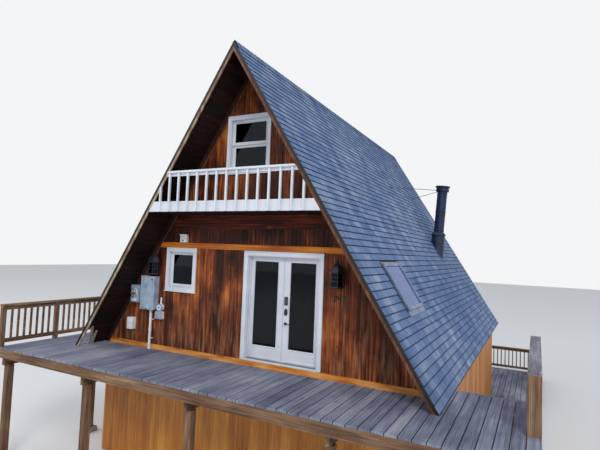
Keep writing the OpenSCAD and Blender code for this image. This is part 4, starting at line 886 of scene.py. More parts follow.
def shingleRows(side, hole=None):
    # tabs row by row: each wedge rises from its head to its butt, the next row half a tab along
    s = shingleSet
    rows = int(slopeLength / s["exposure"])
    exposure = slopeLength / rows
    perRow = int((rearRake - frontRake) / s["tab"]) + 2
    row, tab = np.meshgrid(np.arange(rows), np.arange(perRow), indexing="ij")
    y0 = frontRake + tab * s["tab"] - (row % 2) * s["stagger"] + s["slot"] / 2
    y1 = y0 + s["tab"] - s["slot"]
    up = row * exposure
    wobble = rng.uniform(-s["wobble"], s["wobble"], row.shape)
    tone = drawTones(row.shape)
    y0, y1 = np.clip(y0, frontRake, rearRake), np.clip(y1, frontRake, rearRake)
    table = np.stack([a.ravel() for a in (up, y0, y1, wobble, tone)], 1)
    if hole:
        inRow = (table[:, 0] + exposure > hole[0]) & (table[:, 0] < hole[1])
        cross = inRow & (table[:, 2] > hole[2]) & (table[:, 1] < hole[3])
        before, after = table[cross].copy(), table[cross].copy()
        before[:, 2] = np.minimum(before[:, 2], hole[2])
        after[:, 1] = np.maximum(after[:, 1], hole[3])
        table = np.concatenate([table[~cross], before, after])
    if side < 0:
        ragged = rng.uniform(0.0, s["ragged"], len(table))
        broken = frontRake + missingBack(table[:, 0]) + ragged
        table[:, 1] = np.where(table[:, 0] < missing[-1, 0], np.maximum(table[:, 1], broken),
                               table[:, 1])
    table = table[table[:, 2] - table[:, 1] > s["least"]]
    up, y0, y1, wobble, tone = table.T
    low = np.maximum(up + wobble, 0.0)
    high = np.minimum(up + exposure + s["lap"], slopeLength)
    butt = s["butt"] + wobble * 0.4
    corners = ((low, s["under"]), (low, butt), (high, s["head"]), (high, s["under"]))
    ends = np.stack([np.stack([slopePoint(side, u, y, out) for u, out in corners], 1)
                     for y in (y0, y1)], 1)
    return ends, tone


for side, name, hole in ((-1, "leftShingles", None), (1, "rightShingles", skyHole)):
    ends, tone = shingleRows(side, hole)
    makeBars(name, ends, shingles, tone, "tabTone",
             {"upTab": np.tile(upTabOne, len(ends) * 2)})

ridgeSet = {"length": 0.30, "exposure": 0.143, "wing": 0.166, "under": 0.006, "butt": 0.021,
            "head": 0.014}


def ridgeShingles():
    # cap shingles bent over the ridge, each lapping the one before it by more than half
    cap = ridgeSet
    run = rearRake - frontRake - cap["length"]
    count = int(run / cap["exposure"]) + 1
    y0 = frontRake + np.arange(count) * run / (count - 1)
    c, s = math.cos(roofAngle), math.sin(roofAngle)

    def bent(lift):
        # three points (across, height) that stand off the two slopes by lift
        wingX, wingZ = cap["wing"] * c + lift * s, -cap["wing"] * s + lift * c
        return [(-wingX, wingZ), (0, lift / c), (wingX, wingZ)]

    ends = np.zeros((count, 2, 6, 3))
    # upTab is 1 at the head, which the next cap hides, and 0 at the butt
    for e, (y, lift) in enumerate(((y0 + cap["length"], cap["head"]), (y0, cap["butt"]))):
        outline = np.array(bent(cap["under"]) + bent(lift)[::-1])
        ends[:, e, :, 0] = outline[None, :, 0]
        ends[:, e, :, 1] = y[:, None]
        ends[:, e, :, 2] = ridgeTop + outline[None, :, 1]
    piece = makeBars("ridgeShingles", ends, shingles, None, "tabTone",
                     {"upTab": np.tile([1.0] * 6 + [0.0] * 6, count)})
    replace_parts(piece, "ridge_cap")


ridgeShingles()

soffitSet = {"width": 0.140, "gap": 0.006, "thick": 0.006, "chamfer": 0.003, "foot": 0.05,
             "short": 0.15, "fromBreak": 0.006}


def soffitBoards(name, side, y0, y1):
    # boards along the overhang's underside, side by side up the slope
    s = soffitSet
    count = int((slopeLength - s["short"]) / s["width"])
    up = s["foot"] + np.arange(count) * s["width"]
    across, out = boardOutline(up + s["gap"] / 2, up + s["width"] - s["gap"] / 2, -skin - s["thick"],
                               -skin, s["chamfer"])
    start = np.full(across.shape, y0)
    if side < 0 and y0 == frontRake:
        start = np.where(across < missing[-1, 0], y0 + missingBack(across) + s["fromBreak"], y0)
    ends = np.stack([slopePoint(side, across, y, out) for y in (start, y1)], 1)
    return makeBars(name, ends, soffitWood)


for side, word in ((-1, "Left"), (1, "Right")):
    soffitBoards("frontSoffit" + word, side, frontRake, frontWall)
    soffitBoards("rearSoffit" + word, side, rearWall, rearRake)

# folded metal round the skylight: steps at the sides, an apron below, a saddle above
flashing = {"lap": 0.004, "foot": 0.02, "top": 0.03, "near": 0.060, "far": 0.020, "low": 0.002,
            "out": 0.013, "apron": 0.100, "apronNear": 0.02, "apronFar": 0.05, "saddle": 0.035,
            "saddleIn": 0.01}
f = flashing
stepSpan = (skyUp - f["foot"], skyTop + f["top"])
# the dark strips beside the frame are flashing; the near one is drawn wider, partly as painted shadow
# along the frame
makePiece("skylightSideFlashingAndShadow", [
    slopeBox(1, *stepSpan, skyNear - f["near"], skyNear + f["lap"], f["low"], f["out"]),
    slopeBox(1, *stepSpan, skyFar - f["lap"], skyFar + f["far"], f["low"], f["out"])],
    edgeMetal, ease=0.002)
makePiece("skylightApron", [
    slopeBox(1, skyUp - f["apron"], skyUp + f["lap"], skyNear - f["apronNear"],
             skyFar + f["apronFar"], 0.004, f["out"] + 0.001),
    slopeBox(1, skyTop - f["lap"], skyTop + f["saddle"], skyNear + f["saddleIn"],
             skyFar - f["saddleIn"], f["low"], f["out"] - 0.001)],
    claddingMetal, ease=0.002)

# raised border on the skylight's frame: two rails, and two stiles between them
border = {"edge": 0.004, "rail": 0.030, "stile": 0.028, "low": 0.040, "out": 0.050}
edge, rail, stile = border["edge"], border["rail"], border["stile"]
makePiece("skylightCladding", [
    slopeBox(1, skyUp + a, skyUp + b, skyNear + c, skyFar - d, border["low"], border["out"])
    for a, b, c, d in (
        (edge, rail, edge, edge),
        (skyLength - rail, skyLength - edge, edge, edge),
        (rail, skyLength - rail, edge, skyFar - skyNear - stile),
        (rail, skyLength - rail, skyFar - skyNear - stile, edge))],
    claddingMetal, ease=0.002)
slopeNormal = (math.sin(roofAngle), 0, math.cos(roofAngle))
skyScrews = {"fromEnd": 0.017, "fromSide": 0.08, "count": 4,
             "head": [(0, 0), (0.006, 0), (0.006, 0.002), (0, 0.004)]}
makePiece("skylightScrews", [
    turnedAt(skyScrews["head"], 10, slopePoint(1, skyUp + u, y, border["out"]), slopeNormal)
    for u in (skyScrews["fromEnd"], skyLength - skyScrews["fromEnd"])
    for y in np.linspace(skyNear + skyScrews["fromSide"], skyFar - skyScrews["fromSide"],
                         skyScrews["count"])], steelGrey, smooth=True)
print("roof dressed")


# stove pipe: lock seams, section rings, screws and a bead of sealant

pipe = {"x": 2.430, "y": frontRake + 8.060, "lean": math.radians(4), "radius": 0.155,
        "rings": (0.63, 1.24, 1.83), "seams": ((0.56, 1.22), (1.26, 1.81)),
        "seamTurn": math.radians(-62), "seamRadius": 0.005, "screwRows": (0.66, 1.27), "screws": 6,
        "screwHead": [(0, -0.002), (0.006, -0.002), (0.006, 0.002), (0.004, 0.004), (0, 0.004)],
        "beadUp": 0.478, "beadRadius": 0.224, "beadThick": 0.008}
pipeAxis = np.array((math.sin(pipe["lean"]), 0, math.cos(pipe["lean"])))
pipeFoot = np.array((pipe["x"], pipe["y"], ridgeTop - rise * pipe["x"] / halfWidth))


def onPipe(part, up):
    # a part moved up the leaning pipe
    return placed(part, pipeFoot + pipeAxis * up, pipeAxis)


r = pipe["radius"]
ringLoop = [(r - 0.002, -0.016), (r + 0.004, -0.016), (r + 0.009, -0.008), (r + 0.004, 0.0),
            (r + 0.009, 0.008), (r + 0.004, 0.016), (r - 0.002, 0.016)]
makePiece("pipeSectionRings", [onPipe(turned(ringLoop, 48), up) for up in pipe["rings"]],
          stoveBlack, smooth=True)
seamOut = np.array((math.cos(pipe["seamTurn"]) * math.cos(pipe["lean"]), math.sin(pipe["seamTurn"]),
                    -math.cos(pipe["seamTurn"]) * math.sin(pipe["lean"])))
makePiece("pipeSeam", [
    tube([pipeFoot + pipeAxis * up + seamOut * (r + 0.001) for up in (a, (a + b) / 2, b)],
         pipe["seamRadius"], 8) for a, b in pipe["seams"]], stoveBlack, smooth=True)
screwTurns = np.arange(pipe["screws"]) * 2 * math.pi / pipe["screws"] + 0.3
screwWays = [np.array((math.cos(a), math.sin(a), 0)) for a in screwTurns]
makePiece("pipeScrews", [
    turnedAt(pipe["screwHead"], 8, pipeFoot + pipeAxis * up + (r + 0.003) * way, way)
    for up in pipe["screwRows"] for way in screwWays], steelGrey, smooth=True)
beadTurns = np.arange(8) * math.pi / 4
beadLoop = [(pipe["beadRadius"] + pipe["beadThick"] * math.cos(a), pipe["beadThick"] * math.sin(a))
            for a in beadTurns]
makePiece("collarBead", [onPipe(turned(beadLoop, 40), pipe["beadUp"])], stoveBlack,
          smooth=True)

# nail heads round the base plate, and two courses of shingles lapping over its upper part
basePlate = {"nailUp": 0.42, "nailAlong": 0.29, "alongCount": 5, "upTo": 0.28, "upCount": 4,
             "nail": [(0, 0), (0.009, 0), (0.008, 0.002), (0, 0.003)],
             "lapUp": 0.16, "lapHalf": 0.34, "boot": 0.16, "bootTaper": 0.03, "lapLength": 0.147,
             "butt": 0.014, "head": 0.005}
plateUp = slopeLength - pipe["x"] / math.cos(roofAngle)
b = basePlate
nailSpots = [(u, y) for u in (-b["nailUp"], b["nailUp"])
             for y in np.linspace(-b["nailAlong"], b["nailAlong"], b["alongCount"])]
nailSpots += [(u, y) for u in np.linspace(-b["upTo"], b["upTo"], b["upCount"])
              for y in (-b["nailAlong"], b["nailAlong"])]
makePiece("basePlateNails", [
    turnedAt(b["nail"], 10, slopePoint(1, plateUp + u, pipe["y"] + y, 0.004), slopeNormal)
    for u, y in nailSpots], steelGrey, smooth=True)
lapTabs = []
for row in range(2):
    foot = plateUp + b["lapUp"] + row * shingleSet["exposure"]
    head = foot + b["lapLength"]
    boot = b["boot"] - row * b["bootTaper"]
    for y0, y1 in ((-b["lapHalf"], -boot), (boot, b["lapHalf"])):
        lapTabs.append([[slopePoint(1, u, pipe["y"] + y, out) for u, out in (
            (foot, 0.0), (foot, b["butt"]), (head, b["head"]), (head, 0.0))] for y in (y1, y0)])
makeBars("plateShingles", np.array(lapTabs), shingles, None, "tabTone",
         {"upTab": np.tile(upTabOne, len(lapTabs) * 2)})
print("stove pipe dressed")


# doors and windows

# backband and bead round every casing: profile as (inset, out) from the casing's outer edge
backBand = [(-0.006, 0.0), (-0.006, casingOut + 0.006), (0.0, casingOut + 0.010),
            (0.010, casingOut + 0.010), (0.016, casingOut + 0.004), (0.022, casingOut + 0.002),
            (0.022, casingOut - 0.002), (0.004, 0.0)]
innerBead = [(casingWidth - 0.016, casingOut - 0.002), (casingWidth - 0.016, casingOut + 0.002),
             (casingWidth - 0.010, casingOut + 0.006), (casingWidth - 0.002, casingOut + 0.004),
             (casingWidth - 0.001, casingOut - 0.002)]
sashWidth, sashIn, sashDeep = 0.050, 0.040, 0.035
meetingLap = 0.004  # each sash's share of the lap at the meeting rails
sashBead = [(-0.004, -0.010), (-0.004, 0.002), (0.004, 0.002), (0.010, -0.003), (0.012, -0.0085),
            (0.002, -0.0085)]
sashLock = {"half": 0.030, "deep": 0.012, "low": 0.030, "high": 0.008}


def sashHeights(window, sashes):
    # lower and upper edge of each sash, lapping at the meeting rails
    low, high = window[2] + casingWidth, window[3] - casingWidth
    middle = (window[2] + window[3]) / 2
    return [(low, high)] if sashes == 1 else [(low, middle + meetingLap), (middle - meetingLap, high)]


def dressWindow(window, sashes, wallY, outward):
    # mouldings of one window: on the casing, and a bead against the glass of each sash
    parts = [mould(window, profile, wallY, outward) for profile in (backBand, innerBead)]
    glassIn = casingWidth + sashWidth
    for i, (low, high) in enumerate(sashHeights(window, sashes)):
        face = wallY - outward * (sashIn + (sashes - 1 - i) * sashDeep)
        area = (window[0] + glassIn, window[1] - glassIn, low + sashWidth, high - sashWidth)
        parts.append(mould(area, sashBead, face, outward))
    return parts


# every window with its number of sashes and its wall
windows = [(frontWindows[0], 1, frontWall, -1), (frontWindows[1], 2, frontWall, -1),
           (rearWindows[0], 1, rearWall, 1), (rearWindows[1], 1, rearWall, 1),
           (rearWindows[2], 2, rearWall, 1), *((w, 1, rearWall, 1) for w in lowerWindows)]
makePiece("windowMouldings", [p for w in windows for p in dressWindow(*w)], whitePaint)

# cam lock on the meeting rails of the two-sash windows
lockParts = []
for window, sashes, wallY, outward in windows:
    if sashes == 2:
        middle = (window[0] + window[1]) / 2
        top = (window[2] + window[3]) / 2 + meetingLap
        face = wallY - outward * (sashIn + sashes * sashDeep)
        lockParts.append(boxPart(middle - sashLock["half"], middle + sashLock["half"],
                                 *sorted((face, face - outward * sashLock["deep"])),
                                 top - sashLock["low"], top - sashLock["high"]))
makePiece("sashLocks", lockParts, steelGrey, ease=0.003)

# door casing: the same mouldings, with the lower ends running down behind the threshold
doorArea = (doorLow.x, doorHigh.x, doorLow.z - 0.10, doorHigh.z)


def openMould(area, profile, wallY, outward, foot):
    # the moulding of three sides: mould() with its foot pulled up to a level line
    points, faces = mould(area, profile, wallY, outward)
    n = len(profile)
    points[:2 * n, 2] = foot
    return points, faces[n:] + [list(range(n)), list(range(2 * n - 1, n - 1, -1))]


makePiece("doorMouldings", [openMould(doorArea, p, frontWall, -1, doorLow.z + 0.004)
                            for p in (backBand, innerBead)], whitePaint)

leafBack = frontWall + 0.130
leafFace = leafBack - 0.045  # outer face of the closed leaves
leafFoot, leafHead = deckTop + 0.155, deckTop + 2.190
glassFoot, glassHead = leafFoot + 0.250, leafHead - 0.078
leaves = {"left_door": {"word": "left", "glass": (0.164, 0.7325), "edge": 0.8625, "toward": -1,
                        "dripPast": (0.055, 0.075)},
          "right_door": {"word": "right", "glass": (0.9975, 1.566), "edge": 0.8675, "toward": 1,
                         "dripPast": (0.075, 0.055)}}
glassBead = [(-0.014, 0.0), (-0.012, 0.006), (-0.006, 0.009), (0.002, 0.007), (0.008, 0.001),
             (0.010, -0.006), (0.010, -0.0125), (0.001, -0.0125), (0.001, -0.001)]
edgeBead = {"radius": 0.008, "out": 0.002, "foot": 0.03, "top": 0.05}
dripBar = {"low": 0.012, "high": 0.034, "deep": 0.012}
for body, leaf in leaves.items():
    area = (*leaf["glass"], glassFoot, glassHead)
    parts = [mould(area, glassBead, leafFace, -1), mould(area, glassBead, leafBack, 1)]
    makePiece(leaf["word"] + "LeafBeads", parts, whitePaint, body=body)
    # half-round bead along the meeting edge, and the drip bar across the foot
    beadX = leaf["edge"] + leaf["toward"] * edgeBead["radius"]
    upright = [(beadX, leafFace + edgeBead["out"], z)
               for z in np.linspace(leafFoot + edgeBead["foot"], leafHead - edgeBead["top"], 6)]
    bar = boxPart(leaf["glass"][0] - leaf["dripPast"][0], leaf["glass"][1] + leaf["dripPast"][1],
                  leafFace - dripBar["deep"], leafFace, leafFoot + dripBar["low"],
                  leafFoot + dripBar["high"])
    makePiece(leaf["word"] + "LeafEdgeBead", [tube(upright, edgeBead["radius"], 10)], whitePaint,
              body=body, smooth=True)
    makePiece(leaf["word"] + "LeafDrip", [bar], whitePaint, body=body, ease=0.004)

# metal strip of the threshold, under the closed leaves
threshold = {"left": 0.080, "right": 1.650, "front": 0.010, "behind": 0.028, "low": 0.1495,
             "high": 0.153}
makePiece("thresholdStrip", [boxPart(threshold["left"], threshold["right"],
                                     frontWall - threshold["front"], leafFace - threshold["behind"],
                                     deckTop + threshold["low"], deckTop + threshold["high"])],
          steelGrey, ease=0.001)

# levers, lock and keypad on the right leaf
handle = {"x": 0.9325, "lever": deckTop + 0.906, "lock": deckTop + 1.130, "keypad": deckTop + 1.350,
          "length": 0.104, "out": 0.049, "back": 0.022, "sag": 0.004, "thick": 0.0085, "taper": 0.002,
          "rose": [(0, 0), (0.030, 0), (0.030, 0.006), (0.026, 0.010), (0.013, 0.010),
                   (0.011, 0.016), (0.010, 0.040), (0, 0.041)],
          "neck": [(0, 0.036), (0.011, 0.038), (0.013, 0.046), (0.012, 0.054), (0, 0.057)],
          "lockFace": [(0, 0), (0.020, 0), (0.020, 0.026), (0.017, 0.029), (0.006, 0.029),
                       (0.005, 0.027), (0, 0.027)],
          "thumbTurn": [(0, 0.022), (0.016, 0.022), (0.014, 0.034), (0, 0.036)],
          "button": [(0, 0.0), (0.0065, 0.0), (0.0062, 0.0015), (0, 0.002)],
          "columns": (-0.019, 0.0, 0.019), "rows": (-0.045, -0.020, 0.005, 0.030)}
outFace = (0, 1, 0)  # the way that fittings on the inside face


def lever(faceY, outward):
    # rose, a bar that curves out, along and back towards the door, and the neck's cap
    h = handle
    foot, way = (h["x"], faceY, h["lever"]), (0, outward, 0)
    t = np.linspace(0, 1, 12)
    path = np.stack([h["x"] + h["length"] * t, faceY + outward * (h["out"] - h["back"] * t ** 4),
                     h["lever"] - h["sag"] * np.sin(math.pi * t)], 1)
    return [turnedAt(h["rose"], 28, foot, way), tube(path, h["thick"] - h["taper"] * t, 12),
            turnedAt(h["neck"], 20, foot, way)]


lockSpot, keySpot = (handle["x"], leafFace, handle["lock"]), (handle["x"], leafFace, handle["keypad"])
innerSpot = (handle["x"], leafBack, handle["keypad"])
keypadPlate = plate(0.068, 0.160, 0.024, 0.014, 0.005, 6)
handlePieces = makePiece("doorHandles", [
    *lever(leafFace, -1), *lever(leafBack, 1),
    placed(plate(0.066, 0.131, 0.016, 0.0325, 0.004, 8), lockSpot),
    turnedAt(handle["lockFace"], 28, lockSpot), placed(keypadPlate, keySpot),
    placed(keypadPlate, innerSpot, outFace), turnedAt(handle["thumbTurn"], 20, innerSpot, outFace)],
    castBlack, body="right_door", smooth=True)
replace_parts(handlePieces, "door_handle_set")
makePiece("keypadButtons", [
    turnedAt(handle["button"], 14, (handle["x"] + dx, leafFace - 0.0235, handle["keypad"] + dz))
    for dx in handle["columns"] for dz in handle["rows"]], steelGrey,
    body="right_door", smooth=True)
print("doors and windows dressed")


# lanterns: outlines as (radius, height over the foot)

lanternLow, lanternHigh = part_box("wall_lanterns")
lantern = {
    "out": 0.150, "radius": 0.1325,
    "foot": [(0, 0), (0.106, 0), (0.1325, 0.012), (0.1325, 0.026), (0.124, 0.036), (0, 0.036)],
    "lid": [(0, 0.262), (0.110, 0.262), (0.125, 0.276), (0.125, 0.290), (0.118, 0.300),
            (0.116, 0.325), (0.109, 0.352), (0.097, 0.378), (0.081, 0.401), (0.062, 0.420),
            (0.043, 0.434), (0.028, 0.444), (0.016, 0.452), (0, 0.452)],
    "finial": [(0, 0.448), (0.016, 0.450), (0.012, 0.462), (0.018, 0.474), (0.024, 0.486),
               (0.019, 0.500), (0.007, 0.510), (0, 0.520)],
    "hoops": ((0.128, 0.140, 0.1245), (0.196, 0.206, 0.1195)),  # low, high, radius
    "panes": [(0.1225, 0.034), (0.1075, 0.266), (0.1045, 0.266), (0.1195, 0.034)],
    "candle": [(0, 0.036), (0.016, 0.036), (0.016, 0.120), (0.012, 0.124), (0, 0.124)],
    "bulb": [(0, 0.122), (0.011, 0.124), (0.019, 0.142), (0.021, 0.160), (0.016, 0.182),
             (0.007, 0.200), (0, 0.207)],
    "postSpan": (0.030, 0.282), "postReach": (0.126, 0.110), "post": 0.0065, "rib": 0.0045,
    "plateUp": 0.14, "armUp": 0.19, "armRise": 0.105, "armFrom": 0.010, "armReach": 0.045,
    "arm": 0.009}
upward = (0, 0, 1)
lanternFeet = [np.array((x, frontWall - lantern["out"], lanternLow.z))
               for x in (lanternLow.x + lantern["radius"], lanternHigh.x - lantern["radius"])]


def lanternParts(foot):
    # six-sided cage on a foot ring, bell-shaped lid with ribs, finial, wall plate and arm
    n = lantern
    parts = [turnedAt(n[key], sides, foot, upward)
             for key, sides in (("foot", 6), ("lid", 6), ("finial", 20))]
    for low, high, radius in n["hoops"]:
        parts.append(turnedAt([(radius - 0.007, low), (radius + 0.002, low), (radius + 0.002, high),
                               (radius - 0.007, high)], 6, foot, upward))
    heights = np.linspace(*n["postSpan"], 4)
    reach = np.interp(heights, n["postSpan"], n["postReach"])
    bell = np.array(n["lid"][3:-1])
    for a in np.arange(6) * math.pi / 3:
        toward = np.array((math.cos(a), math.sin(a), 0))
        parts.append(tube(foot + toward * reach[:, None] + np.outer(heights, upward), n["post"], 8))
        parts.append(tube(foot + toward * bell[:, :1] * 1.01 + np.outer(bell[:, 1], upward),
                          n["rib"], 6))
    parts.append(placed(plate(0.110, 0.230, 0.018, 0.024, 0.007),
                        (foot[0], frontWall, foot[2] + n["plateUp"])))
    t = np.linspace(0, 1, 10)
    arm = np.stack([np.full(10, foot[0]), frontWall - n["armFrom"] - n["armReach"] * t,
                    foot[2] + n["armUp"] + n["armRise"] * np.sin(t * math.pi / 2)], 1)
    return parts + [tube(arm, n["arm"], 10)]


cage = makePiece("lanternCages", [p for foot in lanternFeet for p in lanternParts(foot)], castBlack,
                 smooth=True)
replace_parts(cage, "wall_lanterns")
# thin six-sided panes behind the posts, and a candle and bulb inside
makePiece("lanternPanes", [turnedAt(lantern["panes"], 6, foot, upward) for foot in lanternFeet],
          lanternGlass)
makePiece("lanternCandles", [turnedAt(lantern["candle"], 20, foot, upward) for foot in lanternFeet],
          whitePlastic, smooth=True)
makePiece("lanternBulbs", [turnedAt(lantern["bulb"], 20, foot, upward) for foot in lanternFeet],
          clearGlass, smooth=True)


# meter, panel, small boxes and pipes left of the window

def frontOf(node):
    # edges, middle and size of a fixture's node as they are seen from the front
    low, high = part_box(node)
    return {"left": low.x, "right": high.x, "foot": low.z, "top": high.z, "back": high.y,
            "x": (low.x + high.x) / 2, "z": (low.z + high.z) / 2,
            "wide": high.x - low.x, "tall": high.z - low.z}


def disc(radius, low, high):
    # outline of a plain round plate
    return [(0, low), (radius, low), (radius, high), (0, high)]


def hoop(inner, outer, low, high):
    # outline of a plain ring
    return [(inner, low), (outer, low), (outer, high), (inner, high)]


meter = {**frontOf("meter_box"), "deep": 0.175, "lid": 0.012, "lidIn": 0.016, "dialUp": 0.222,
         "hasp": 0.012, "haspOut": 0.014, "haspLow": 0.100, "haspHigh": 0.128, "plateUp": 0.058,
         "rim": [(0.084, -0.002), (0.098, -0.002), (0.098, 0.018), (0.094, 0.026), (0.086, 0.026)],
         "glass": 0.0855, "wall": 0.003, "glassFoot": 0.022, "shoulder": 0.070, "crown": 0.030,
         "marks": 0.042, "markCount": 5, "marksUp": 0.018, "wheelDown": 0.012}
m = meter
meterFace = frontWall - m["deep"]
dialAt = (m["x"], meterFace, m["foot"] + m["dialUp"])
meterParts = [
    placed(plate(m["wide"], m["tall"], m["deep"] - m["lid"], 0.012, 0.004), (m["x"], frontWall, m["z"])),
    placed(plate(m["wide"] - m["lidIn"], m["tall"] - m["lidIn"], m["lid"], 0.014, 0.005),
           (m["x"], meterFace + m["lid"], m["z"])),
    boxPart(m["x"] - m["hasp"], m["x"] + m["hasp"], meterFace - m["haspOut"], meterFace,
            m["foot"] + m["haspLow"], m["foot"] + m["haspHigh"])]
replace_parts(makePiece("meterHousing", meterParts, meterPaint, smooth=True), "meter_box")
makePiece("meterRim", [turnedAt(m["rim"], 48, dialAt),
                       placed(plate(0.150, 0.066, 0.010, 0.010, 0.004),
                              (m["x"], meterFace + 0.001, m["foot"] + m["plateUp"]))],
          dialWhite, smooth=True)
# glass dome: an inner and an outer quarter arc over straight walls
bend = np.linspace(0, math.pi / 2, 7)
inside, outside = ([(radius * math.cos(a), up + m["crown"] * math.sin(a)) for a in bend]
                   for radius, up in ((m["glass"] - m["wall"], m["shoulder"] - m["wall"]),
                                      (m["glass"], m["shoulder"])))
dome = [(0, inside[-1][1]), *inside[-2::-1], (m["glass"] - m["wall"], m["glassFoot"]),
        (m["glass"], m["glassFoot"]), *outside[:-1], (0, outside[-1][1])]
makePiece("meterGlass", [turnedAt(dome, 48, dialAt)], clearGlass, smooth=True)
makePiece("meterDial", [turnedAt([(0, 0.004), (0.080, 0.004), (0.080, 0.030), (0, 0.031)], 40, dialAt),
                        placed(plate(0.110, 0.042, 0.010, 0.006, 0.002),
                               (m["x"], meterFace - 0.030, dialAt[2] + m["marksUp"]))],
          dialWhite, smooth=True)
dialMarks = [turnedAt(hoop(0.0065, 0.0085, 0.0, 0.0015), 20,
                      (m["x"] + dx, meterFace - 0.040, dialAt[2] + m["marksUp"]))
             for dx in np.linspace(-m["marks"], m["marks"], m["markCount"])]
dialMarks.append(turnedAt(disc(0.052, 0.0, 0.003), 40,
                          (m["x"], meterFace - 0.0302, dialAt[2] - m["wheelDown"])))
makePiece("meterDialMarks", dialMarks, castBlack, smooth=True)

panel = {**frontOf("electrical_panel"), "deep": 0.160, "lid": (0.385, 0.690, 0.004, 0.012, 0.003),
         "lidDown": 0.012, "latchIn": 0.075, "latchDown": 0.070, "hasp": 0.030, "haspOut": 0.016,
         "haspLow": 0.006, "haspHigh": 0.040, "lock": 0.012, "lockLow": 0.012, "lockHigh": 0.034,
         "glands": (0.09, 0.17),
         "gland": [(0, 0.0), (0.030, 0.0), (0.030, 0.030), (0.024, 0.042), (0, 0.042)]}
p = panel
panelFace = p["back"] - p["deep"]
latchX, latchZ = p["right"] - p["latchIn"], p["top"] - p["latchDown"]
makePiece("panelLid", [
    placed(plate(*p["lid"]), (p["x"], panelFace, (p["foot"] + p["top"] - p["lidDown"]) / 2)),
    turnedAt(hoop(0.024, 0.034, 0.0, 0.006), 28, (latchX, panelFace - 0.003, latchZ)),
    boxPart(p["x"] - p["hasp"], p["x"] + p["hasp"], panelFace - p["haspOut"], panelFace,
            p["foot"] + p["haspLow"], p["foot"] + p["haspHigh"])],
    panelPaint, ease=0.001)
makePiece("panelFittings", [
    turnedAt(disc(0.024, 0.0, 0.002), 24, (latchX, panelFace - 0.004, latchZ)),
    boxPart(p["x"] - p["lock"], p["x"] + p["lock"], panelFace - 0.022, panelFace - 0.015,
            p["foot"] + p["lockLow"], p["foot"] + p["lockHigh"]),
    *(turnedAt(p["gland"], 20, (p["left"] + dx, p["back"] - 0.075, p["foot"] + 0.010), (0, 0, -1))
      for dx in p["glands"])], castBlack, smooth=True)

phone = {**frontOf("phone_box"), "baseDeep": 0.072, "baseIn": 0.006, "lidDeep": 0.044,
         "lidFrom": 0.075, "hinges": (-0.08, 0.08), "screwIn": 0.030, "screwOut": 0.118,
         "glands": (-0.04, 0.02),
         "screw": [(0, 0), (0.010, 0), (0.010, 0.003), (0.004, 0.004), (0, 0.003)],
         "gland": [(0, 0), (0.014, 0), (0.014, 0.022), (0.010, 0.028), (0, 0.028)]}
h = phone
phoneParts = [
    placed(plate(h["wide"] - h["baseIn"], h["tall"] - h["baseIn"], h["baseDeep"], 0.010, 0.003),
           (h["x"], frontWall, h["z"])),
    placed(plate(h["wide"], h["tall"], h["lidDeep"], 0.014, 0.010),
           (h["x"], frontWall - h["lidFrom"], h["z"])),
    *(turnedAt(disc(0.007, -0.018, 0.018), 12, (h["left"] + 0.002, frontWall - 0.074, h["z"] + dz),
               upward) for dz in h["hinges"])]
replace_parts(makePiece("phoneBox", phoneParts, whitePlastic, smooth=True), "phone_box")
makePiece("phoneBoxFittings", [
    turnedAt(h["screw"], 16, (h["right"] - h["screwIn"], frontWall - h["screwOut"], h["z"])),
    *(turnedAt(h["gland"], 16, (h["x"] + dx, frontWall - 0.040, h["foot"] + 0.005), (0, 0, -1))
      for dx in h["glands"])], castBlack, smooth=True)

# couplings and straps on the conduit, and covers on the switch beside it
conduit = {"x": panel["right"] - 0.165, "y": frontWall - 0.0523,
           "couplings": (panel["foot"] - 0.040, deckTop + 0.45, deckTop + 0.045),
           "straps": (deckTop + 0.24, deckTop + 0.66), "strapHalf": 0.052, "strapTall": 0.012,
           "coupling": [(0.0295, -0.035), (0.036, -0.035), (0.037, -0.030), (0.034, -0.026),
                        (0.034, 0.026), (0.037, 0.030), (0.036, 0.035), (0.0295, 0.035)]}
c = conduit
conduitParts = [turnedAt(c["coupling"], 28, (c["x"], c["y"], z), upward) for z in c["couplings"]]
conduitParts += [boxPart(c["x"] - c["strapHalf"], c["x"] + c["strapHalf"], frontWall - 0.0115,
                         frontWall - 0.0075, z - c["strapTall"], z + c["strapTall"])
                 for z in c["straps"]]
conduitParts += [turnedAt(hoop(0.0298, 0.0325, -c["strapTall"], c["strapTall"]), 28,
                          (c["x"], c["y"], z), upward) for z in c["straps"]]
makePiece("conduitFittings", conduitParts, whitePlastic, smooth=True)

switch = {"x": panel["right"] + 0.010 + 0.0925, "z": panel["foot"] - 0.190, "coverUp": 0.081,
          "capUp": 0.255, "cap": [(0, 0.0), (0.030, 0.0), (0.028, 0.008), (0, 0.010)],
          "capRing": [(0.060, 0.0), (0.083, 0.0), (0.083, 0.010), (0.076, 0.016), (0.060, 0.012)]}
s = switch
makePiece("switchCovers", [
    placed(plate(0.184, 0.161, 0.014, 0.012, 0.005), (s["x"], frontWall - 0.096, s["z"] + s["coverUp"])),
    placed(plate(0.080, 0.110, 0.006, 0.008, 0.003), (s["x"], frontWall - 0.109, s["z"] + s["coverUp"])),
    turnedAt(s["capRing"], 40, (s["x"], frontWall - 0.082, s["z"] + s["capUp"])),
    turnedAt(s["cap"], 24, (s["x"], frontWall - 0.089, s["z"] + s["capUp"]))],
    meterPaint, smooth=True)

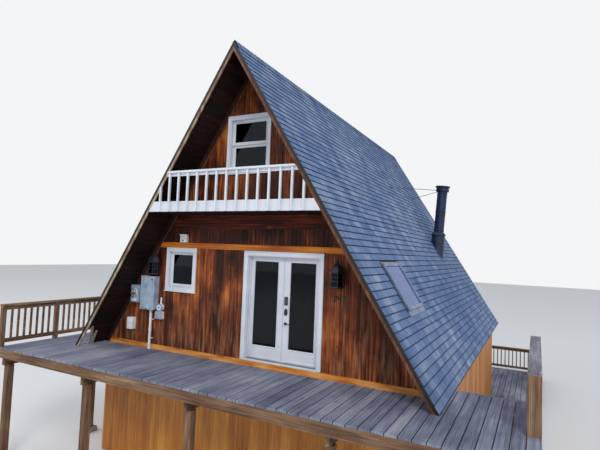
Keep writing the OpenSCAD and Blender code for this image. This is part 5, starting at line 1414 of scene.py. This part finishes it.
sensor = {**frontOf("sensor_light"), "deep": 0.080, "hood": 0.030, "hoodDeep": 0.104, "face": 0.078,
          "eyeUp": 0.040, "lensIn": 0.040, "lensTall": 0.070, "lensUp": 0.018,
          "ring": [(0.020, 0.0), (0.027, 0.0), (0.026, 0.008), (0.020, 0.008)],
          "eye": [(0, 0), (0.020, 0.0), (0.017, 0.010), (0.010, 0.016), (0, 0.019)]}
s = sensor
eyeAt = (s["x"], frontWall - s["face"], s["foot"] + s["eyeUp"])
sensorParts = [
    placed(plate(s["wide"], s["tall"], s["deep"], 0.018, 0.008), (s["x"], frontWall, s["z"])),
    placed(plate(s["wide"], s["hood"], s["hoodDeep"], 0.008, 0.004),
           (s["x"], frontWall, s["top"] - s["hood"] / 2)),
    turnedAt(s["ring"], 28, eyeAt)]
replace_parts(makePiece("sensorHousing", sensorParts, whitePlastic, smooth=True),
            "sensor_light")
makePiece("sensorLens", [placed(plate(s["wide"] - s["lensIn"], s["lensTall"], 0.006, 0.010, 0.003),
                                (s["x"], frontWall - s["face"], s["z"] + s["lensUp"]))],
          dialWhite, smooth=True)
makePiece("sensorEye", [turnedAt(s["eye"], 24, eyeAt)], lanternGlass, smooth=True)

# three plain digits under the right lantern, as bars: a top, b and c right, d foot, e and f left, g middle
digitSet = {"height": 0.112, "width": 0.060, "bar": 0.019, "step": 0.079, "x": 1.985, "z": 3.980,
            "out": 0.016, "back": 0.007, "bars": ("abged", "fgbc", "abc")}


def digitBars(order, x):
    # the bars of one digit as (left, right, foot, head)
    d = digitSet
    h, w, b = d["height"], d["width"], d["bar"]
    rows = {"a": (0, w, h - b, h), "b": (w - b, w, h / 2, h), "c": (w - b, w, 0, h / 2),
            "d": (0, w, 0, b), "e": (0, b, 0, h / 2), "f": (0, b, h / 2, h),
            "g": (0, w, h / 2 - b / 2, h / 2 + b / 2)}
    return [boxPart(x + x0, x + x1, frontWall - d["out"], frontWall - d["back"], d["z"] + z0,
                    d["z"] + z1) for x0, x1, z0, z1 in (rows[letter] for letter in order)]


makePiece("plainDigits", [bar for i, order in enumerate(digitSet["bars"])
                          for bar in digitBars(order, digitSet["x"] + i * digitSet["step"])],
          castBlack)
print("fixtures made")


# balcony

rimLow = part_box("balcony_rim_board")[0]
balcony = {"width": 0.140, "gap": 0.010, "thick": 0.008, "chamfer": 0.003, "fromRoof": 0.004,
           "fromRim": 0.012, "fromWall": 0.008, "nails": 12, "nailReach": 1.9,
           "nailUps": (0.045, 0.165),
           "nail": [(0, -0.001), (0.005, -0.001), (0.005, 0.0012), (0, 0.002)]}


def balconyBoards():
    # boards under the balcony floor, each from the rim to the wall, side by side from slope to slope
    b = balcony
    under = rimLow.z
    reach = innerHalf(under) - b["fromRoof"]
    count = int(2 * reach / b["width"])
    step = 2 * reach / count
    x0 = -reach + np.arange(count) * step + b["gap"] / 2
    across, out = boardOutline(x0, x0 + step - b["gap"], under - b["thick"], under, b["chamfer"])
    ends = barEnds("xzy", across, out, rimLow.y + b["fromRim"], frontWall - b["fromWall"])
    return makeBars("balconyUnderside", ends, soffitWood)


balconyBoards()
makePiece("rimNails", [
    turnedAt(balcony["nail"], 8, (x, rimLow.y - 0.0005, rimLow.z + up))
    for x in np.linspace(-balcony["nailReach"], balcony["nailReach"], balcony["nails"])
    for up in balcony["nailUps"]], steelGrey, smooth=True)


# decks

# boards 38 mm thick on timbers 38 mm wide; a sleeper of the terrace is two timbers wide
deckSet = {"board": 0.170, "gap": 0.012, "thick": 0.038, "ease": 0.005, "timber": 0.038, "stray": 0.005,
           "screwIn": 0.035, "screwSink": 0.0035, "screwStray": 0.004, "screwFromEnd": 0.02,
           "screw": [(0, 0.0), (0.0055, 0.0), (0.0055, 0.0032), (0.002, 0.0032), (0, 0.0024)]}


def deckBoards(name, node, strips, joistYs):
    # boards along Y with eased top edges over the areas (x0, x1, y0, y1), two screws at each joist
    d = deckSet
    low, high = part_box(node)
    rows = []
    for x0, x1, y0, y1 in strips:
        count = round((x1 - x0 + d["gap"]) / (d["board"] + d["gap"]))
        step = (x1 - x0 + d["gap"]) / count
        start = x0 + np.arange(count) * step
        stray = rng.uniform(0.0, d["stray"], count) * (y0 < frontRake)
        rows.append(np.stack([start, start + step - d["gap"], y0 + stray, np.full(count, y1)], 1))
    rows = np.concatenate(rows)
    left, right, front, back = rows.T
    across, out = boardOutline(left, right, high.z, low.z, d["ease"])
    ends = barEnds("xzy", across, out, front[:, None], back[:, None])
    piece = makeBars(name, ends, deckWood)
    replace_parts(piece, node)
    clear = d["screwFromEnd"]
    places = np.array([(x, y, high.z - d["screwSink"]) for x0, x1, y0, y1 in rows for y in joistYs
                       if y0 < y - clear and y + clear < y1
                       for x in (x0 + d["screwIn"], x1 - d["screwIn"])])
    places[:, :2] += rng.uniform(-d["screwStray"], d["screwStray"], (len(places), 2))
    makePiece(name + "Screws", copies(turned(d["screw"], 8), places), steelGrey)


# joists and sleepers run along X under the boards; screws stand on their middle lines
deckLow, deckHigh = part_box("main_deck")
terraceLow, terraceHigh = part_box("terrace_deck")
returnY = deckHigh.y
timber, gap = deckSet["timber"], deckSet["gap"]
frontYs = np.linspace(deckLow.y, frontWall - timber, 5) + timber / 2
deckBoards("deckBoards", "main_deck",
           [(-lowerReach, lowerReach, deckLow.y, frontWall),
            (deckLow.x, -lowerReach - gap, deckLow.y, returnY),
            (lowerReach + gap, deckHigh.x, deckLow.y, returnY)], [*frontYs, returnY - timber / 2])
rearYs = rearWall + np.arange(7) * (terraceHigh.y - rearWall - 2 * timber) / 6 + timber
sideYs = returnY + np.arange(9) * (rearWall - returnY) / 9 + timber
deckBoards("terraceBoards", "terrace_deck",
           [(-lowerReach, lowerReach, rearWall, terraceHigh.y),
            (lowerReach + gap, terraceHigh.x, terraceLow.y, terraceHigh.y)], [*rearYs, *sideYs])

# half of the post's and pad's sides, the pad's height, the height of a joist or beam, and how far
# posts stand in from the deck's edges
postSet = {"half": 0.070, "pad": 0.160, "padTop": 0.120, "shoulder": 0.86, "count": 5, "beam": 0.184,
           "inX": 0.090, "frontIn": 0.230, "backIn": 0.198, "shoe": 0.004, "shoeTall": 0.080}


def deckPosts():
    # square posts with eased edges, in steel shoes on cast pads with sloping shoulders
    s = postSet
    half, pad, top = s["half"], s["pad"], s["padTop"]
    xs = np.linspace(deckLow.x + s["inX"], deckHigh.x - s["inX"], s["count"])
    joistFoot = deckTop - deckSet["thick"] - s["beam"]
    spots = [(x, deckLow.y + s["frontIn"], joistFoot - s["beam"]) for x in xs]
    spots += [(x, returnY - s["backIn"], joistFoot) for x in (xs[0], xs[-1])]
    posts = makePiece("deckPosts", [boxPart(x - half, x + half, y - half, y + half, top, high)
                                    for x, y, high in spots], postWood, ease=0.006)
    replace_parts(posts, "deck_posts")
    pads = []
    for x, y, _ in spots:
        points, faces = boxPart(x - pad, x + pad, y - pad, y + pad, 0.0, top)
        upper = points[:, 2] > top / 2
        points[upper, :2] = (x, y) + (points[upper, :2] - (x, y)) * s["shoulder"]
        pads.append((points, faces))
    makePiece("postPads", pads, castConcrete, ease=0.010)
    wide = half + s["shoe"]
    makePiece("postShoes", [boxPart(x - wide, x + wide, y - wide, y + wide, top, top + s["shoeTall"])
                            for x, y, _ in spots], steelGrey, ease=0.002)


deckPosts()

# bolt heads through the rail posts into the rim joists
boltSet = {"ups": (0.05, 0.16), "postMiddle": 0.0445, "beforeRake": 0.1, "sink": 0.009,
           "head": [(0, 0), (0.016, 0), (0.016, 0.002), (0.010, 0.003), (0.010, 0.010), (0, 0.011)]}
rightYs = (frontRake - boltSet["beforeRake"], returnY - boltSet["postMiddle"])
leftYs = (deckLow.y + boltSet["postMiddle"], (deckLow.y + returnY) / 2,
          returnY - boltSet["postMiddle"])
makePiece("railBolts", [
    turnedAt(boltSet["head"], 6, (x - way * boltSet["sink"], y, deckTop + up), (way, 0, 0))
    for x, way, ys in ((deckHigh.x, 1, rightYs), (deckLow.x, -1, leftYs))
    for y in ys for up in boltSet["ups"]], steelGrey)
print("decks laid")

# finishes for the frame's own nodes

finishes = {
    castConcrete: ["ground_slab"],
    honeyWood: ["lower_wall_right", "lower_wall_left", "lower_wall_front", "lower_wall_rear"],
    floorWood: ["main_floor", "loft_floor"],
    # the walls behind the boards take the darker copy of the stain: painted shade in the gaps between the
    # boards
    upperSiding: ["front_wall_left", "front_wall_right", "front_wall_head", "rear_wall",
                  "front_gable_wall"],
    soffitWood: ["roof_left", "roof_right"],
    rakeWood: ["rake_boards"],
    levelTrim: ["eave_boards", "balcony_floor"],
    orangeWood: ["wall_trim"],
    edgeMetal: ["roof_edge_metal"],
    claddingMetal: ["skylight_frame"],
    whitePaint: ["door_frame", "door_leaf_left", "door_leaf_right", "window_frames",
                 "balcony_rim_board", "balcony_railing"],
    windowGlass: ["door_glass_left", "door_glass_right", "window_glass"],
    skyReflectionGlass: ["skylight_glass"],
    stoveBlack: ["stove_pipe", "pipe_cap", "pipe_stays"],
    bootMetal: ["pipe_flashing"],
    whitePlastic: ["conduit"],
    panelPaint: ["electrical_panel"],
    crossWood: ["deck_joists", "terrace_sleepers", "railing_terrace_rear"],
    railWood: ["deck_beams", "railing_left", "railing_terrace_right", "railing_terrace_left"],
    capWood: ["railing_right"],
    postWood: ["rail_posts"],
    stubWood: ["eave_stub"],
}
for material, names in finishes.items():
    for name in names:
        nodes[name].data.materials.clear()
        nodes[name].data.materials.append(material)
print("finishes given")


# camera, light and stage

view = {"place": (5.311, -12.786, 4.868), "yaw": 27.576, "pitch": 3.415, "roll": 2.242,
        "focal": 456.2, "imageWidth": 600}
# pale floor and sky, and two soft lamps: place, width in metres and power in watts, aimed at the house
stageSet = {"floor": "#e9eaeb", "floorReach": 90.0, "shown": "#f4f5f6", "sky": "#eef2f8",
            "skyStrength": 0.66, "aim": (0, 0, 4),
            "lamps": {"key": ((26, -38, 34), 18, 11800), "left fill": ((-38, -30, 24), 20, 5200)}}


def photoCamera():
    # the photograph's camera: place, turn left of +Y, tilt up and roll in degrees, focal length in pixels
    yaw, pitch, roll = (math.radians(view[k]) for k in ("yaw", "pitch", "roll"))
    forward = Vector((-math.sin(yaw) * math.cos(pitch), math.cos(yaw) * math.cos(pitch),
                      math.sin(pitch)))
    level = Vector((math.cos(yaw), math.sin(yaw), 0))
    upright = level.cross(forward)
    right = level * math.cos(roll) + upright * math.sin(roll)
    up = upright * math.cos(roll) - level * math.sin(roll)
    data = bpy.data.cameras.new("photo camera")
    data.sensor_width = 36.0
    data.lens = view["focal"] * data.sensor_width / view["imageWidth"]
    data.clip_end = 400
    camera = addObject("photo camera", data)
    turn = Matrix((right, up, -forward)).transposed().to_4x4()
    camera.matrix_world = Matrix.Translation(Vector(view["place"])) @ turn
    bpy.context.scene.camera = camera


def areaLamp(name, place, width, power):
    # a round lamp that looks at the house
    data = bpy.data.lights.new(name, "AREA")
    data.shape = "DISK"
    data.size = width
    data.energy = power
    lamp = addObject(name, data)
    lamp.location = place
    lamp.rotation_mode = "QUATERNION"
    lamp.rotation_quaternion = (Vector(stageSet["aim"]) - Vector(place)).to_track_quat("-Z", "Y")


def seenDirectly(material):
    # 1 for rays from the camera, a mirror or through glass, 0 for rays that light the scene
    path = addNode(material, "ShaderNodeLightPath")
    first = addNode(material, "ShaderNodeMath", {"operation": "MAXIMUM"},
                    {0: path.outputs["Is Camera Ray"], 1: path.outputs["Is Glossy Ray"]})
    return addNode(material, "ShaderNodeMath", {"operation": "MAXIMUM"},
                   {0: first.outputs[0], 1: path.outputs["Is Transmission Ray"]}).outputs[0]


def makeStage():
    # a sky that lights with one strength and shows with another, the floor and the lamps
    world = bpy.data.worlds.new("studio")
    bpy.context.scene.world = world
    world.use_nodes = True
    world.node_tree.nodes.clear()
    light = addNode(world, "ShaderNodeBackground",
                    {"Color": linear(stageSet["sky"]), "Strength": stageSet["skyStrength"]})
    shown = addNode(world, "ShaderNodeBackground",
                    {"Color": linear(stageSet["shown"]), "Strength": 1.0})
    both = addNode(world, "ShaderNodeMixShader", links={0: seenDirectly(world), 1: light.outputs[0],
                                                        2: shown.outputs[0]})
    addNode(world, "ShaderNodeOutputWorld", links={"Surface": both.outputs[0]})
    reach = stageSet["floorReach"]
    mesh = bpy.data.meshes.new("floor")
    mesh.from_pydata([(-reach, -reach, 0), (reach, -reach, 0), (reach, reach, 0),
                      (-reach, reach, 0)], [], [(0, 1, 2, 3)])
    pale, shader = newMaterial("pale studio floor")
    shader.inputs["Base Color"].default_value = linear(stageSet["floor"])
    shader.inputs["Roughness"].default_value = 0.95
    mesh.materials.append(pale)
    floor = addObject("floor", mesh)
    for name, lamp in stageSet["lamps"].items():
        areaLamp(name, *lamp)
    bpy.context.scene.view_settings.view_transform = "Standard"


photoCamera()
makeStage()
print("camera, lamps and floor set")
